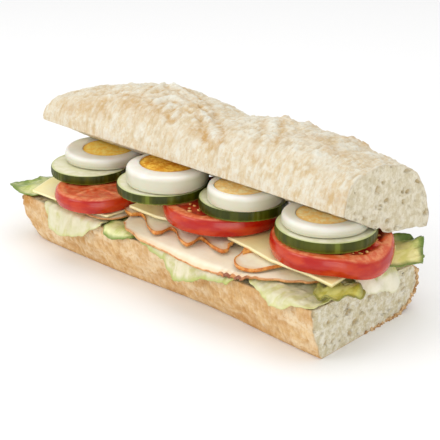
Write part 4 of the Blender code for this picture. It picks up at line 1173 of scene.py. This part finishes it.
def scatterPiece(name, spots, material, values):
    mesh = bpy.data.meshes.new(name + "Points")
    mesh.from_pydata(inFrame(spots).tolist(), [], [])
    seat = addObject(name + "Points", mesh)
    modifier = seat.modifiers.new("Scatter", "NODES")
    modifier.node_group = scatter
    for key, value in values.items():
        modifier[socketOf[key]] = value
    modifier[socketOf["Look"]] = material
    bpy.context.view_layer.update()
    solid = bpy.data.meshes.new_from_object(seat.evaluated_get(bpy.context.evaluated_depsgraph_get()))
    seat.modifiers.remove(modifier)
    bpy.data.objects.remove(seat)
    spread = np.empty(len(solid.vertices) * 3)
    solid.vertices.foreach_get("co", spread)
    spread[2::3] = np.maximum(spread[2::3], 0.0)  # nothing reaches below the table
    solid.vertices.foreach_set("co", spread)
    piece = addObject(name, solid)
    solid.polygons.foreach_set("use_smooth", [True] * len(solid.polygons))
    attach(piece, "root")


def grainFinish(name, dark, light, roughness):
    f = Finish(name, roughness, 0.3)
    f.colour(f.shade(f.noise(2.0, 3.0), 0.4, 0.6, dark, light))
    return f.mat


scatter, socketOf = scatterTree()
scatterPiece("tomatoSeeds", np.vstack(seedSpots) + [0.0, 0.0, 0.1],
             grainFinish("tomatoSeed", rgb(216, 150, 74), rgb(230, 182, 112), 0.3), seeds)
scatterPiece("crustFlakes", flakeSpots,
             grainFinish("crustFlake", rgb(168, 126, 80), rgb(214, 182, 138), 0.9), flakes)
print("seeds and flakes made")


# Camera, floor and lights

studio = {"azimuth": 43.2, "elevation": 22.6, "distance": 0.540, "target": (0.0355, -0.025, 0.045),
          "lens": 93.2, "sensor": 36.0, "floorSize": 6.0, "floorTone": 0.93, "worldLight": 0.81}
lights = {
    "keyLight": {"spot": (-0.42, -0.90, 0.60), "aim": (0, 0, 0.04), "size": (0.6, 0.6), "power": 3.7,
                 "tint": (1.0, 0.985, 0.96)},
    "fillLight": {"spot": (0.75, -0.70, 0.22), "aim": (0, 0, 0.05), "size": (0.8, 0.4), "power": 2.0,
                  "tint": (1.0, 1.0, 1.0)},
    "topLight": {"spot": (0.0, 0.15, 1.1), "aim": (0, 0, 0.04), "size": (0.9, 0.9), "power": 3.3,
                 "tint": (1.0, 1.0, 1.0)},
}
az, el = math.radians(studio["azimuth"]), math.radians(studio["elevation"])
back = Vector((math.sin(az) * math.cos(el), -math.cos(az) * math.cos(el), math.sin(el)))
side = Vector((math.cos(az), math.sin(az), 0.0))
target = Vector(studio["target"]) + Vector((place["shiftX"], place["shiftY"], 0.0)) * place["toMetres"]
lens = bpy.data.cameras.new("camera")
lens.lens = studio["lens"]
lens.sensor_width = studio["sensor"]
lens.clip_start = 0.01
camera = addObject("camera", lens)
facing = Matrix((side, back.cross(side), back)).transposed().to_4x4()
camera.matrix_world = Matrix.Translation(target + back * studio["distance"]) @ facing
bpy.context.scene.camera = camera

bpy.ops.mesh.primitive_plane_add(size=studio["floorSize"], location=(0, 0, 0))
floor = bpy.context.object
floor.name = "floor"
paper = Finish("paper", 0.9, 0.1)
paper.colour((studio["floorTone"],) * 3 + (1.0,))
floor.data.materials.append(paper.mat)

for name, v in lights.items():
    data = bpy.data.lights.new(name, "AREA")
    data.shape = "RECTANGLE"
    data.size, data.size_y = v["size"]
    data.energy = v["power"]
    data.color = v["tint"]
    lamp = addObject(name, data)
    lamp.location = v["spot"]
    lamp.rotation_euler = (Vector(v["aim"]) - Vector(v["spot"])).to_track_quat("-Z", "Y").to_euler()
world = bpy.data.worlds.new("studioWorld")
world.use_nodes = True
world.node_tree.nodes["Background"].inputs["Color"].default_value = (1.0, 1.0, 1.0, 1.0)
world.node_tree.nodes["Background"].inputs["Strength"].default_value = studio["worldLight"]
bpy.context.scene.world = world
bpy.context.scene.view_settings.view_transform = "Standard"
print("camera, floor and lights set")
